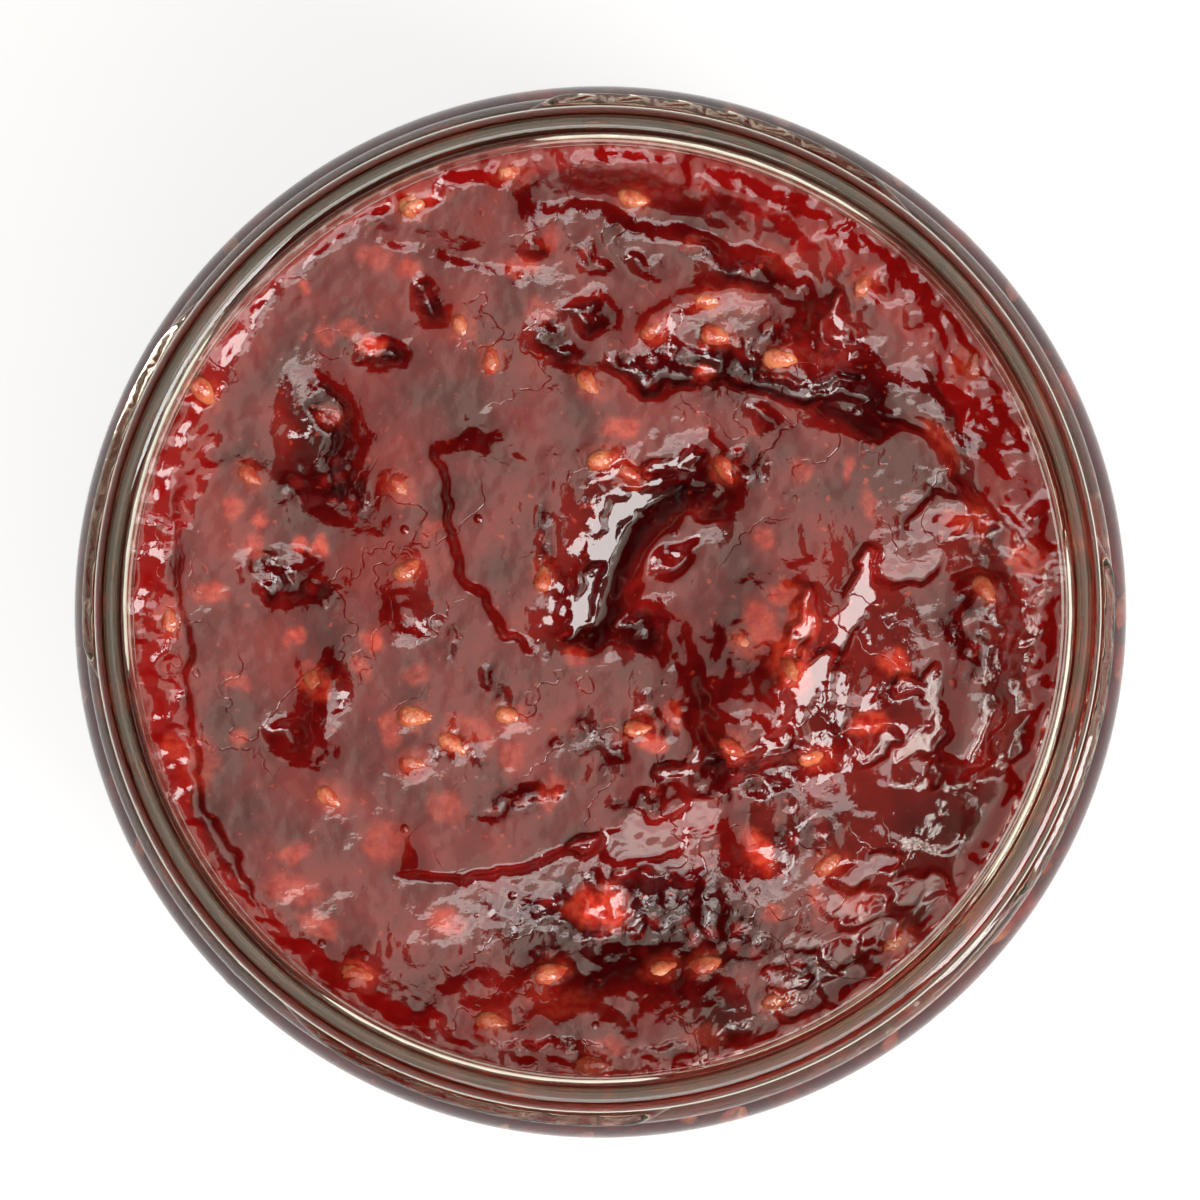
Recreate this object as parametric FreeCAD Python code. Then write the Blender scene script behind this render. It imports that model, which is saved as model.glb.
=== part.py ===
import FreeCAD
import Part

import math
import os

# An open glass jar with a lug finish, filled with raspberry mostarda up into its neck.
# Millimetres, +Z up. The origin is the centre of the base, on the surface the jar stands on.

# Glass
JAR_HEIGHT = 68.0          # base to the top of the lip
LIP_RADIUS = 39.6          # outside of the neck and the lip
WALL = 2.6                 # neck, shoulder and body
BODY_OVERHANG = 3.2        # how far the body stands out beyond the neck
BASE_THICKNESS = 3.4
PUSH_UP = 2.5              # height of the hollow under the base
BASE_RING_WIDTH = 3.5      # flat ring that the jar stands on
HEEL_RADIUS = 6.0          # outside, base ring to body
INNER_HEEL_RADIUS = 6.5    # inside, floor to body
SHOULDER_RADIUS = 5.0      # outside, body into shoulder
NECK_ROOT_RADIUS = 2.5     # outside, shoulder into neck

# Closure finish on the neck
BEAD_DROP = 10.3           # top of the lip to the middle of the bead
BEAD_HALF_HEIGHT = 1.8
BEAD_PROUD = 1.6           # how far the bead stands out of the neck
LUG_COUNT = 4
LUG_SPAN = 54.0            # degrees that one lug covers
LUG_FIRST_ANGLE = 46.0     # low end of the first lug, degrees from +X
LUG_PROUD = 1.3
LUG_ROOT = 0.9             # depth of a lug's foot inside the wall
LUG_HALF_FOOT = 1.6        # half height of a lug where it leaves the wall
LUG_HALF_CREST = 0.55      # half height of its crest
LUG_LOW_DROP = 6.9         # top of the lip to the crest at the low end
LUG_RISE = 1.9             # how much higher the crest is at the other end
LUG_RUN_IN = 0.26          # share of the span in which the low end fades out
LUG_RUN_OUT = 0.12         # the same at the high end, which is blunter
LUG_SECTIONS = 13

# Mostarda
FILL_DROP = 8.2            # top of the lip to the mean level of the fruit
WALL_RISE = 0.9            # how much the fruit climbs where it meets the glass
WALL_RISE_WIDTH = 1.6
RELIEF_STEP = 2.0          # spacing of the net that carries the relief
RELIEF_ROOM = 6.0          # height kept above the mean level for folds

# Folds and furrows that the spoon left: height (negative for a furrow) and half width in
# millimetres, and a line through points given as shares of the mouth radius.
FOLDS = {
    "middle furrow": (
        -2.6, 2.3, [(0.35, 0.28), (0.20, 0.31), (0.05, 0.25), (-0.01, 0.11), (-0.04, -0.07)]),
    "bank beside the middle furrow": (
        1.1, 2.2, [(0.30, 0.20), (0.15, 0.20), (0.08, 0.08), (0.02, -0.08)]),
    "left crease": (
        -0.9, 1.3, [(-0.34, 0.44), (-0.31, 0.28), (-0.29, 0.11), (-0.21, -0.02), (-0.08, -0.12)]),
    "edge of the right tongue": (
        1.5, 2.4, [(0.66, 0.19), (0.50, 0.06), (0.42, -0.12), (0.36, -0.23), (0.18, -0.30)]),
    "lower crease": (
        -0.9, 1.5, [(-0.58, -0.60), (-0.30, -0.58), (0.01, -0.54), (0.12, -0.47)]),
    "ridge above the lower crease": (
        1.3, 2.0, [(-0.40, -0.50), (-0.10, -0.47), (0.16, -0.38), (0.34, -0.36)]),
    "upper arc": (
        -0.9, 1.9, [(-0.20, 0.86), (0.01, 0.88), (0.22, 0.84), (0.44, 0.74)]),
    "upper right fold": (
        1.2, 1.7, [(-0.08, 0.60), (0.09, 0.50), (0.26, 0.56), (0.44, 0.50), (0.62, 0.46), (0.82, 0.24)]),
    "far right ridge": (
        0.9, 1.8, [(0.84, 0.10), (0.88, -0.10), (0.85, -0.32)]),
}

# Rounded hollows and lumps: centre as shares of the mouth radius, height and half widths in
# millimetres, and the turn of the first half width from +X in degrees.
LUMPS = {
    "pool on the right": ((0.70, -0.33), -3.4, 9.0, 15.0, -15.0),
    "hollow under the upper right fold": ((0.46, 0.62), -1.5, 8.0, 2.6, -12.0),
    "bottom hollow": ((0.10, -0.70), -2.3, 11.0, 4.6, 4.0),
    "left pit": ((-0.60, 0.36), -1.6, 3.6, 6.5, 20.0),
    "small left pit": ((-0.64, 0.05), -1.0, 3.0, 3.0, 0.0),
    "left lump": ((-0.59, -0.17), 1.2, 1.9, 2.5, 30.0),
    "middle lump": ((0.17, 0.14), 0.7, 3.2, 2.2, 35.0),
    "left bank": ((-0.45, -0.20), 0.9, 11.0, 14.0, 0.0),
    "lower right bank": ((0.62, -0.74), 1.0, 6.0, 3.5, 40.0),
}

mouth_radius = LIP_RADIUS - WALL
body_radius = LIP_RADIUS + BODY_OVERHANG
fill_level = JAR_HEIGHT - FILL_DROP


def polar(centre, radius, degrees):
    """The point (r, z) on a circle at an angle from the +r direction."""
    turn = math.radians(degrees)
    return (centre[0] + radius * math.cos(turn), centre[1] + radius * math.sin(turn))


def arc(centre, radius, start, end):
    """An arc of the profile, through its middle point."""
    points = [polar(centre, radius, angle) for angle in (start, (start + end) / 2, end)]
    return Part.Arc(*[FreeCAD.Vector(r, 0, z) for r, z in points]).toShape()


def line(start, end):
    return Part.makeLine(FreeCAD.Vector(start[0], 0, start[1]), FreeCAD.Vector(end[0], 0, end[1]))


def revolved(edges):
    """The closed profile turned all the way round the jar's axis."""
    face = Part.Face(Part.Wire(Part.__sortEdges__(edges)))
    return face.revolve(FreeCAD.Vector(0, 0, 0), FreeCAD.Vector(0, 0, 1), 360)


def shoulder_centres():
    """Centres of the two arcs of the shoulder and the angle that each one turns through."""
    turn = math.degrees(math.acos(1 - BODY_OVERHANG / (SHOULDER_RADIUS + NECK_ROOT_RADIUS)))
    neck_root = (LIP_RADIUS + NECK_ROOT_RADIUS, JAR_HEIGHT - BEAD_DROP - BEAD_HALF_HEIGHT)
    reach = SHOULDER_RADIUS + NECK_ROOT_RADIUS
    shoulder = (body_radius - SHOULDER_RADIUS, neck_root[1] - reach * math.sin(math.radians(turn)))
    return shoulder, neck_root, turn


def base_arc_radius():
    """Radius of the shallow dome under the base, which rises PUSH_UP above its ring."""
    ring_inner = body_radius - HEEL_RADIUS - BASE_RING_WIDTH
    return (ring_inner ** 2 + PUSH_UP ** 2) / (2 * PUSH_UP)


def inner_edges():
    """The inside of the jar, from the axis at the floor up to the lip."""
    shoulder, neck_root, turn = shoulder_centres()
    dome_radius = base_arc_radius() + BASE_THICKNESS
    dome_centre = (0, PUSH_UP - base_arc_radius())
    inner_body = body_radius - WALL
    heel_r = inner_body - INNER_HEEL_RADIUS
    heel_z = dome_centre[1] + math.sqrt((dome_radius + INNER_HEEL_RADIUS) ** 2 - heel_r ** 2)
    heel = (heel_r, heel_z)
    lean = math.degrees(math.atan2(heel_z - dome_centre[1], heel_r))
    lip_bottom = JAR_HEIGHT - WALL / 2
    edges = [
        arc(dome_centre, dome_radius, 90, lean),
        arc(heel, INNER_HEEL_RADIUS, lean - 180, 0),
        line((inner_body, heel_z), (inner_body, shoulder[1])),
        arc(shoulder, SHOULDER_RADIUS - WALL, 0, turn),
        arc(neck_root, NECK_ROOT_RADIUS + WALL, turn - 180, -180),
        line((mouth_radius, neck_root[1]), (mouth_radius, lip_bottom)),
    ]
    return edges


def glass_shell():
    """The jar's wall as one closed profile: base, body, shoulder, bead, neck and round lip."""
    shoulder, neck_root, turn = shoulder_centres()
    ring_outer = body_radius - HEEL_RADIUS
    ring_inner = ring_outer - BASE_RING_WIDTH
    dome = base_arc_radius()
    dome_centre = (0, PUSH_UP - dome)
    ring_angle = math.degrees(math.atan2(-dome_centre[1], ring_inner))
    bead_middle = JAR_HEIGHT - BEAD_DROP
    bead = (BEAD_HALF_HEIGHT ** 2 + BEAD_PROUD ** 2) / (2 * BEAD_PROUD)
    bead_centre = (LIP_RADIUS + BEAD_PROUD - bead, bead_middle)
    bead_angle = math.degrees(math.atan2(BEAD_HALF_HEIGHT, LIP_RADIUS - bead_centre[0]))
    lip_bottom = JAR_HEIGHT - WALL / 2
    edges = inner_edges() + [
        arc((LIP_RADIUS - WALL / 2, lip_bottom), WALL / 2, 180, 0),
        line((LIP_RADIUS, lip_bottom), (LIP_RADIUS, bead_middle + BEAD_HALF_HEIGHT)),
        arc(bead_centre, bead, bead_angle, -bead_angle),
        arc(neck_root, NECK_ROOT_RADIUS, 180, 180 + turn),
        arc(shoulder, SHOULDER_RADIUS, turn, 0),
        line((body_radius, shoulder[1]), (body_radius, HEEL_RADIUS)),
        arc((ring_outer, HEEL_RADIUS), HEEL_RADIUS, 0, -90),
        line((ring_outer, 0), (ring_inner, 0)),
        arc(dome_centre, dome, ring_angle, 90),
        line((0, PUSH_UP), (0, PUSH_UP + BASE_THICKNESS)),
    ]
    return revolved(edges)


def eased(share):
    """A soft step from 0 to 1 as the share goes from 0 to 1."""
    held = min(max(share, 0.0), 1.0)
    return held * held * (3 - 2 * held)


def lug_section(start_angle, share):
    """One closed section of a lug, in the plane through the axis at this share of its span."""
    swell = eased(share / LUG_RUN_IN) * eased((1 - share) / LUG_RUN_OUT)
    buried = LUG_ROOT / 3
    crest = LIP_RADIUS - buried + (LUG_PROUD + buried) * swell
    foot = LIP_RADIUS - LUG_ROOT
    middle = JAR_HEIGHT - LUG_LOW_DROP + LUG_RISE * share
    outline = [
        (foot, middle - LUG_HALF_FOOT), (crest, middle - LUG_HALF_CREST),
        (crest, middle + LUG_HALF_CREST), (foot, middle + LUG_HALF_FOOT),
    ]
    turn = math.radians(start_angle + LUG_SPAN * share)
    points = [FreeCAD.Vector(r * math.cos(turn), r * math.sin(turn), z) for r, z in outline]
    return Part.makePolygon(points + points[:1])


def lug(start_angle):
    """A lug that climbs anticlockwise and fades into the neck at both ends."""
    shares = [(1 - math.cos(math.pi * i / (LUG_SECTIONS - 1))) / 2 for i in range(LUG_SECTIONS)]
    return Part.makeLoft([lug_section(start_angle, share) for share in shares], True)


def jar_glass():
    lugs = [lug(LUG_FIRST_ANGLE + i * 360 / LUG_COUNT) for i in range(LUG_COUNT)]
    return glass_shell().fuse(lugs)


def fold_line(shares):
    """Closely spaced points (x, y) along a smooth curve through a fold's points."""
    points = [FreeCAD.Vector(u * mouth_radius, v * mouth_radius, 0) for u, v in shares]
    curve = Part.BSplineCurve()
    curve.interpolate(points)
    count = max(2, math.ceil(curve.length() / (RELIEF_STEP / 2)))
    return [(p.x, p.y) for p in curve.toShape().discretize(Number=count)]


fold_lines = {name: fold_line(shares) for name, (height, width, shares) in FOLDS.items()}


def fold_height(name, x, y):
    """A bell across the fold's line, which dies away past its ends."""
    height, width, shares = FOLDS[name]
    near = min((x - px) ** 2 + (y - py) ** 2 for px, py in fold_lines[name])
    return height * math.exp(-near / width ** 2)


def lump_height(name, x, y):
    """An oval bell."""
    centre, height, half_a, half_b, degrees = LUMPS[name]
    dx = x - centre[0] * mouth_radius
    dy = y - centre[1] * mouth_radius
    turn = math.radians(degrees)
    a = (dx * math.cos(turn) + dy * math.sin(turn)) / half_a
    b = (dy * math.cos(turn) - dx * math.sin(turn)) / half_b
    return height * math.exp(-a * a - b * b)


def surface_height(x, y):
    """Height of the fruit: the level, its folds and lumps, and the climb at the glass."""
    gap = max(mouth_radius - math.hypot(x, y), 0.0)
    height = fill_level + WALL_RISE * math.exp(-gap / WALL_RISE_WIDTH)
    height += sum(fold_height(name, x, y) for name in FOLDS)
    height += sum(lump_height(name, x, y) for name in LUMPS)
    return height


def space_above():
    """Everything over the relief, to be cut away from the fill."""
    reach = mouth_radius + RELIEF_STEP
    count = 2 * math.ceil(reach / RELIEF_STEP) + 1
    start = -RELIEF_STEP * (count - 1) / 2
    places = [start + RELIEF_STEP * i for i in range(count)]
    surface = Part.BSplineSurface()
    surface.interpolate([[FreeCAD.Vector(x, y, surface_height(x, y)) for y in places] for x in places])
    return surface.toShape().extrude(FreeCAD.Vector(0, 0, 2 * RELIEF_ROOM))


def mostarda():
    """What fills the jar, with the same inner profile, up to the uneven surface."""
    top = fill_level + RELIEF_ROOM
    edges = inner_edges()[:-1]
    neck_start = shoulder_centres()[1][1]
    edges += [
        line((mouth_radius, neck_start), (mouth_radius, top)),
        line((mouth_radius, top), (0, top)),
        line((0, top), (0, PUSH_UP + BASE_THICKNESS)),
    ]
    return revolved(edges).cut(space_above())


os.makedirs("parts", exist_ok=True)
for name, shape in {"jar_glass": jar_glass(), "mostarda": mostarda()}.items():
    shape.exportStep("parts/" + name + ".step")
    print(name, "valid", shape.isValid(), "solids", len(shape.Solids), "volume", round(shape.Volume), "mm3")
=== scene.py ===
import math

import bpy
import numpy as np
from mathutils import Matrix, Quaternion, Vector


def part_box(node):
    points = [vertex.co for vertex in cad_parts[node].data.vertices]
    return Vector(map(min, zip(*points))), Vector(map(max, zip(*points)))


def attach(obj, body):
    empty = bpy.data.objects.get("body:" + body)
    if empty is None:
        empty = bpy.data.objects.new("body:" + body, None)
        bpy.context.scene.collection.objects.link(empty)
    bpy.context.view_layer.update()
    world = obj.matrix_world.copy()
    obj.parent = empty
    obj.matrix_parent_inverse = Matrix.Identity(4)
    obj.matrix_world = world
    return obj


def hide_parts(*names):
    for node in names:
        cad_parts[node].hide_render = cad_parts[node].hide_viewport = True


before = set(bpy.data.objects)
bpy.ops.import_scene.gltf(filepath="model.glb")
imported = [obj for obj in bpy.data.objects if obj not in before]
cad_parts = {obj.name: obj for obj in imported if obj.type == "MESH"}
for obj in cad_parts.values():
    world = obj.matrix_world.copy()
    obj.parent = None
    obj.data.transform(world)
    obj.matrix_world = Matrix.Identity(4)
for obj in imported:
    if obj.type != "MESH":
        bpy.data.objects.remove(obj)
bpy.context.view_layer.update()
mm = 0.001

jarLow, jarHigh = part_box("jar_glass")
jarTop = jarHigh.z / mm
bodyRadius = min(jarHigh.x, -jarLow.x) / mm
print("frame loaded, jar", round(bodyRadius * 2, 1), "mm wide and", round(jarTop, 1), "mm high")


def easeStep(value):
    # soft step, 3t^2 - 2t^3, from 0 to 1
    t = np.clip(value, 0.0, 1.0)
    return t * t * (3 - 2 * t)


def swirlNoise(x, y, cell, seed, octaves=1):
    # gradient noise: random slopes on a square lattice, blended with 6t^5 - 15t^4 + 10t^3;
    # each further octave is half as large and half as strong, and turned by 37 degrees
    lattice = 64
    total = np.zeros_like(x)
    for octave in range(octaves):
        rng = np.random.default_rng(seed + 101 * octave)
        angles = rng.uniform(0, 2 * math.pi, (lattice, lattice))
        turn = math.radians(37 * octave)
        size = cell / 2 ** octave
        u = (x * math.cos(turn) - y * math.sin(turn)) / size + lattice / 2
        v = (x * math.sin(turn) + y * math.cos(turn)) / size + lattice / 2
        i = np.floor(u).astype(int)
        j = np.floor(v).astype(int)
        a = u - i
        b = v - j

        def corner(di, dj):
            angle = angles[(i + di) % lattice, (j + dj) % lattice]
            return np.cos(angle) * (a - di) + np.sin(angle) * (b - dj)

        fadeA = a ** 3 * (a * (a * 6 - 15) + 10)
        fadeB = b ** 3 * (b * (b * 6 - 15) + 10)
        low = corner(0, 0) * (1 - fadeA) + corner(1, 0) * fadeA
        high = corner(0, 1) * (1 - fadeA) + corner(1, 1) * fadeA
        total += (low * (1 - fadeB) + high * fadeB) * 1.5 / 2 ** octave
    return total


def gridFaces(rows, columns, wrap=False):
    # four-cornered faces of a grid whose points are counted row by row
    r = np.arange(rows - 1)[:, None]
    c = np.arange(columns if wrap else columns - 1)[None, :]
    following = (c + 1) % columns
    corners = [r * columns + c, r * columns + following,
               (r + 1) * columns + following, (r + 1) * columns + c]
    return np.stack(corners, axis=-1).reshape(-1, 4)


def fanFaces(ring, pole, flip=False):
    # triangles between a closed ring of points and one point in its middle
    following = np.roll(ring, -1)
    middle = np.full_like(ring, pole)
    order = [following, ring, middle] if flip else [ring, following, middle]
    return np.stack(order, axis=-1)


def makePiece(name, points, faceSets, material, smooth=True):
    # one mesh object from points in millimetres and a few arrays of faces
    mesh = bpy.data.meshes.new(name)
    faces = [face for faceSet in faceSets for face in faceSet.tolist()]
    mesh.from_pydata((points * mm).tolist(), [], faces)
    mesh.polygons.foreach_set("use_smooth", np.full(len(faces), smooth))
    mesh.materials.append(material)
    mesh.update()
    piece = bpy.data.objects.new(name, mesh)
    bpy.context.scene.collection.objects.link(piece)
    return piece


def addAttribute(piece, name, values):
    # one number for each point, which the material reads by its name
    attribute = piece.data.attributes.new(name, "FLOAT", "POINT")
    attribute.data.foreach_set("value", np.asarray(values, dtype=np.float32))


def newMaterial(name):
    material = bpy.data.materials.new(name)
    material.use_nodes = True
    tree = material.node_tree
    tree.nodes.clear()
    output = tree.nodes.new("ShaderNodeOutputMaterial")
    return material, tree, output


def setInputs(tree, node, values):
    # plain values are set on the node's own sockets, outputs of other nodes are linked to them
    for key, value in values.items():
        if isinstance(value, bpy.types.NodeSocket):
            tree.links.new(value, node.inputs[key])
        else:
            node.inputs[key].default_value = value


def addNode(tree, kind, **settings):
    # at_ begins the name of a setting of the node itself, i and a number stands for an input by its
    # place, and anything else is an input's name
    node = tree.nodes.new(kind)
    inputs = {}
    for key, value in settings.items():
        if key.startswith("at_"):
            setattr(node, key[3:], value)
        elif key[0] == "i" and key[1:].isdigit():
            inputs[int(key[1:])] = value
        else:
            inputs[key] = value
    setInputs(tree, node, inputs)
    return node


def objectPlace(tree):
    return addNode(tree, "ShaderNodeTexCoord").outputs["Object"]


def attributeValue(tree, name):
    return addNode(tree, "ShaderNodeAttribute", at_attribute_name=name).outputs["Fac"]


def noiseValue(tree, place, scale, detail=2.0, distortion=0.0):
    return addNode(tree, "ShaderNodeTexNoise", Vector=place, Scale=scale, Detail=detail,
                   Distortion=distortion).outputs["Fac"]


def ramp(tree, value, low, high, toLow=0.0, toHigh=1.0):
    # value between low and high carried to toLow and toHigh, and held beyond them
    node = tree.nodes.new("ShaderNodeMapRange")
    setInputs(tree, node, {
        "Value": value, "From Min": low, "From Max": high, "To Min": toLow, "To Max": toHigh})
    return node.outputs[0]


def blendColour(tree, share, first, second):
    # first colour where share is 0, second where it is 1
    return addNode(tree, "ShaderNodeMix", at_data_type="RGBA", i0=share, i6=first, i7=second).outputs[2]


def arithmetic(tree, operation, first, second):
    return addNode(tree, "ShaderNodeMath", at_operation=operation, i0=first, i1=second).outputs[0]


def dotWith(tree, place, direction):
    return addNode(tree, "ShaderNodeVectorMath", at_operation="DOT_PRODUCT", i0=place,
                   i1=direction).outputs["Value"]


def lengthOf(tree, place):
    return addNode(tree, "ShaderNodeVectorMath", at_operation="LENGTH", i0=place).outputs["Value"]


glass = {
    "wall": 2.6,                 # millimetres, as all lengths here unless a note says otherwise
    "overhang": 3.2,             # body beyond the neck
    "baseThickness": 3.4,
    "pushUp": 2.5,               # height of the dome under the base
    "ringWidth": 3.5,            # flat ring that the jar stands on
    "heelRadius": 6.0,
    "innerHeelRadius": 6.5,
    "shoulderRadius": 5.0,
    "neckRootRadius": 2.5,
    "beadDrop": 10.3,            # lip to the middle of the bead
    "beadHalfHeight": 1.8,
    "beadProud": 1.6,
    "lugSpan": 54.0,             # degrees
    "lugFirst": 46.0,
    "lugCount": 4,
    "lugProud": 1.3,
    "lugUpperFoot": 1.6,         # the upper side is gentle, the side that a lid grips is steep
    "lugLowerFoot": 0.95,
    "lugHalfCrest": 0.55,
    "lugLowDrop": 6.9,           # lip to the low end of a lug
    "lugRise": 1.9,
    "lugSwell": 0.26,            # shares of the span over which a lug swells and fades
    "lugFade": 0.12,
    "seamAngles": (45.7, 225.0),  # where the halves of the mould met
    "seamProud": 0.05,
    "seamWidth": 0.5,            # degrees
    "turns": 360,                # points round the jar
    "bodyTint": (0.86, 0.73, 0.36, 1),   # the glass soaks up the rest, by its density per metre
    "bodyDensity": 58.0,
    "clearColour": (0.97, 0.98, 0.97, 1),
    "hazeColour": (0.66, 0.55, 0.47, 1),
    "hazeDrop": (9.5, 8.5),      # below the lip, where the haze inside the neck begins and is full
    "hazeDepth": (0.25, 0.05),   # and how deep in the wall
    "hazeClear": (30.0, 12.0),   # from the middle, where it is gone and where it is full, towards
    "clearTurn": -32.0,          # this side
    "hazeRoughness": 0.30,
    "plainRoughness": 0.01,
}
# points along each stretch of the outline
glassRows = {
    "dome": 14, "innerHeel": 14, "wall": 12, "innerShoulder": 7, "neckRoot": 9, "neckInside": 24,
    "lip": 25, "bead": 17, "shoulder": 14, "heel": 16, "ring": 6}
neckRadius = bodyRadius - glass["overhang"]
mouthRadius = neckRadius - glass["wall"]


def arcPoints(centre, radius, start, end, count):
    # points of a circle between two angles in degrees, as rows (r, z)
    turn = np.radians(np.linspace(start, end, count))
    return np.stack([centre[0] + radius * np.cos(turn), centre[1] + radius * np.sin(turn)], axis=1)


def straightPoints(start, end, count):
    # points of a straight line, as rows (r, z)
    return np.linspace(start, end, count)


def joinedProfile(parts):
    # one outline from its pieces, with each point that repeats the one before it left out
    points = np.concatenate(parts)
    fresh = np.linalg.norm(np.diff(points, axis=0), axis=1) > 0.02
    return points[np.concatenate([[True], fresh])]


def shoulderCentres():
    # the two arcs of the shoulder turn by the same angle, whose cosine is 1 - overhang / both radii
    reach = glass["shoulderRadius"] + glass["neckRootRadius"]
    turn = math.degrees(math.acos(1 - glass["overhang"] / reach))
    neckRoot = (neckRadius + glass["neckRootRadius"], jarTop - glass["beadDrop"] - glass["beadHalfHeight"])
    shoulder = (bodyRadius - glass["shoulderRadius"], neckRoot[1] - reach * math.sin(math.radians(turn)))
    return shoulder, neckRoot, turn


def domeRadius():
    # circle through the middle of the push-up and the inner edge of the base ring
    ringInner = bodyRadius - glass["heelRadius"] - glass["ringWidth"]
    return (ringInner ** 2 + glass["pushUp"] ** 2) / (2 * glass["pushUp"])


def innerProfile(outward=0.0):
    # from the middle of the floor, over the heel and up the wall to the neck, and moved outward by
    # a distance into the glass
    shoulder, neckRoot, turn = shoulderCentres()
    dome = domeRadius() + glass["baseThickness"]
    domeCentre = (0.0, glass["pushUp"] - domeRadius())
    heel = glass["innerHeelRadius"]
    heelR = bodyRadius - glass["wall"] - heel
    heelZ = domeCentre[1] + math.sqrt((dome + heel) ** 2 - heelR ** 2)
    lean = math.degrees(math.atan2(heelZ - domeCentre[1], heelR))
    wallR = bodyRadius - glass["wall"] + outward
    parts = [
        arcPoints(domeCentre, dome - outward, 90, lean, glassRows["dome"]),
        arcPoints((heelR, heelZ), heel + outward, lean - 180, 0, glassRows["innerHeel"]),
        straightPoints((wallR, heelZ + 4), (wallR, shoulder[1] - 1), glassRows["wall"]),
        arcPoints(shoulder, glass["shoulderRadius"] - glass["wall"] + outward, 0, turn,
                  glassRows["innerShoulder"]),
        arcPoints(neckRoot, glass["neckRootRadius"] + glass["wall"] - outward, turn - 180, -180,
                  glassRows["neckRoot"]),
    ]
    return joinedProfile(parts)


def outerProfile():
    # from the lip's outside down over the neck, the bead, the shoulder and the body, to the middle
    # of the base
    shoulder, neckRoot, turn = shoulderCentres()
    ringOuter = bodyRadius - glass["heelRadius"]
    ringInner = ringOuter - glass["ringWidth"]
    dome = domeRadius()
    domeCentre = (0.0, glass["pushUp"] - dome)
    ringAngle = math.degrees(math.atan2(-domeCentre[1], ringInner))
    beadMiddle = jarTop - glass["beadDrop"]
    bead = (glass["beadHalfHeight"] ** 2 + glass["beadProud"] ** 2) / (2 * glass["beadProud"])
    beadCentre = (neckRadius + glass["beadProud"] - bead, beadMiddle)
    beadAngle = math.degrees(math.atan2(glass["beadHalfHeight"], neckRadius - beadCentre[0]))
    lipBottom = jarTop - glass["wall"] / 2
    beadTop = beadMiddle + glass["beadHalfHeight"]
    neckRows = round((lipBottom - beadTop) / 0.2)         # close enough for the lugs' flanks
    parts = [
        straightPoints((neckRadius, lipBottom - 0.2), (neckRadius, beadTop + 0.1), neckRows),
        arcPoints(beadCentre, bead, beadAngle, -beadAngle, glassRows["bead"]),
        arcPoints(neckRoot, glass["neckRootRadius"], 182, 180 + turn, glassRows["neckRoot"]),
        arcPoints(shoulder, glass["shoulderRadius"], turn, 0, glassRows["shoulder"]),
        straightPoints((bodyRadius, shoulder[1] - 1), (bodyRadius, glass["heelRadius"] + 1),
                       glassRows["wall"]),
        arcPoints((ringOuter, glass["heelRadius"]), glass["heelRadius"], 0, -90, glassRows["heel"]),
        straightPoints((ringOuter - 0.5, 0), (ringInner, 0), glassRows["ring"]),
        arcPoints(domeCentre, dome, ringAngle, 90, glassRows["dome"]),
    ]
    return joinedProfile(parts)


def lugRelief(r, z, theta):
    # each lug is a trapezoid across and swells and fades along its span while its crest climbs
    start = glass["lugFirst"]
    pitch = 360 / glass["lugCount"]
    share = ((np.degrees(theta) - start) % pitch) / glass["lugSpan"]
    swell = easeStep(share / glass["lugSwell"]) * easeStep((1 - share) / glass["lugFade"])
    middle = jarTop - glass["lugLowDrop"] + glass["lugRise"] * share
    away = np.abs(z - middle)
    foot = np.where(z > middle, glass["lugUpperFoot"], glass["lugLowerFoot"])
    across = easeStep((foot - away) / (foot - glass["lugHalfCrest"]))
    onNeck = (np.abs(r - neckRadius) < 0.02) & (share <= 1)
    return np.where(onNeck, glass["lugProud"] * swell * across, 0.0)


def seamRelief(r, z, theta):
    # two faint upright ribs outside, each a bell exp(-(angle / width)^2)
    rib = np.zeros_like(r)
    for seam in glass["seamAngles"]:
        away = (np.degrees(theta) - seam + 180) % 360 - 180
        rib += np.exp(-away ** 2 / glass["seamWidth"] ** 2)
    outside = (r > neckRadius - 0.02) & (z > 2)
    return np.where(outside, glass["seamProud"] * rib, 0.0)


def buildGlass(material):
    # the outline, turned about the upright axis, with the lugs and seams added to its radius
    half = glass["wall"] / 2
    lip = arcPoints((neckRadius - half, jarTop - half), half, 180, 0, glassRows["lip"])
    inner = innerProfile()
    neckInside = straightPoints((mouthRadius, inner[-1, 1] + 0.4), (mouthRadius, lip[0, 1] - 0.3),
                                glassRows["neckInside"])
    profile = joinedProfile([inner[1:], neckInside, lip, outerProfile()[:-1]])
    theta = np.linspace(0, 2 * math.pi, glass["turns"], endpoint=False)
    r = np.repeat(profile[:, :1], len(theta), axis=1)
    z = np.repeat(profile[:, 1:], len(theta), axis=1)
    angle = np.repeat(theta[None, :], len(profile), axis=0)
    r = r + lugRelief(r, z, angle) + seamRelief(r, z, angle)
    r = np.minimum(r, bodyRadius)
    rows, columns = r.shape
    points = np.stack([r * np.cos(angle), r * np.sin(angle), z], axis=-1).reshape(-1, 3)
    floorPole = len(points)
    points = np.concatenate([points, [[0, 0, inner[0, 1]], [0, 0, glass["pushUp"]]]])
    ring = np.arange(columns)
    faceSets = [
        gridFaces(rows, columns, wrap=True)[:, ::-1],
        fanFaces(ring, floorPole),
        fanFaces(ring + (rows - 1) * columns, floorPole + 1, flip=True),
    ]
    piece = makePiece("jarGlass", points, faceSets, material)
    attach(piece, "root")
    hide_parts("jar_glass")
    return piece


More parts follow.
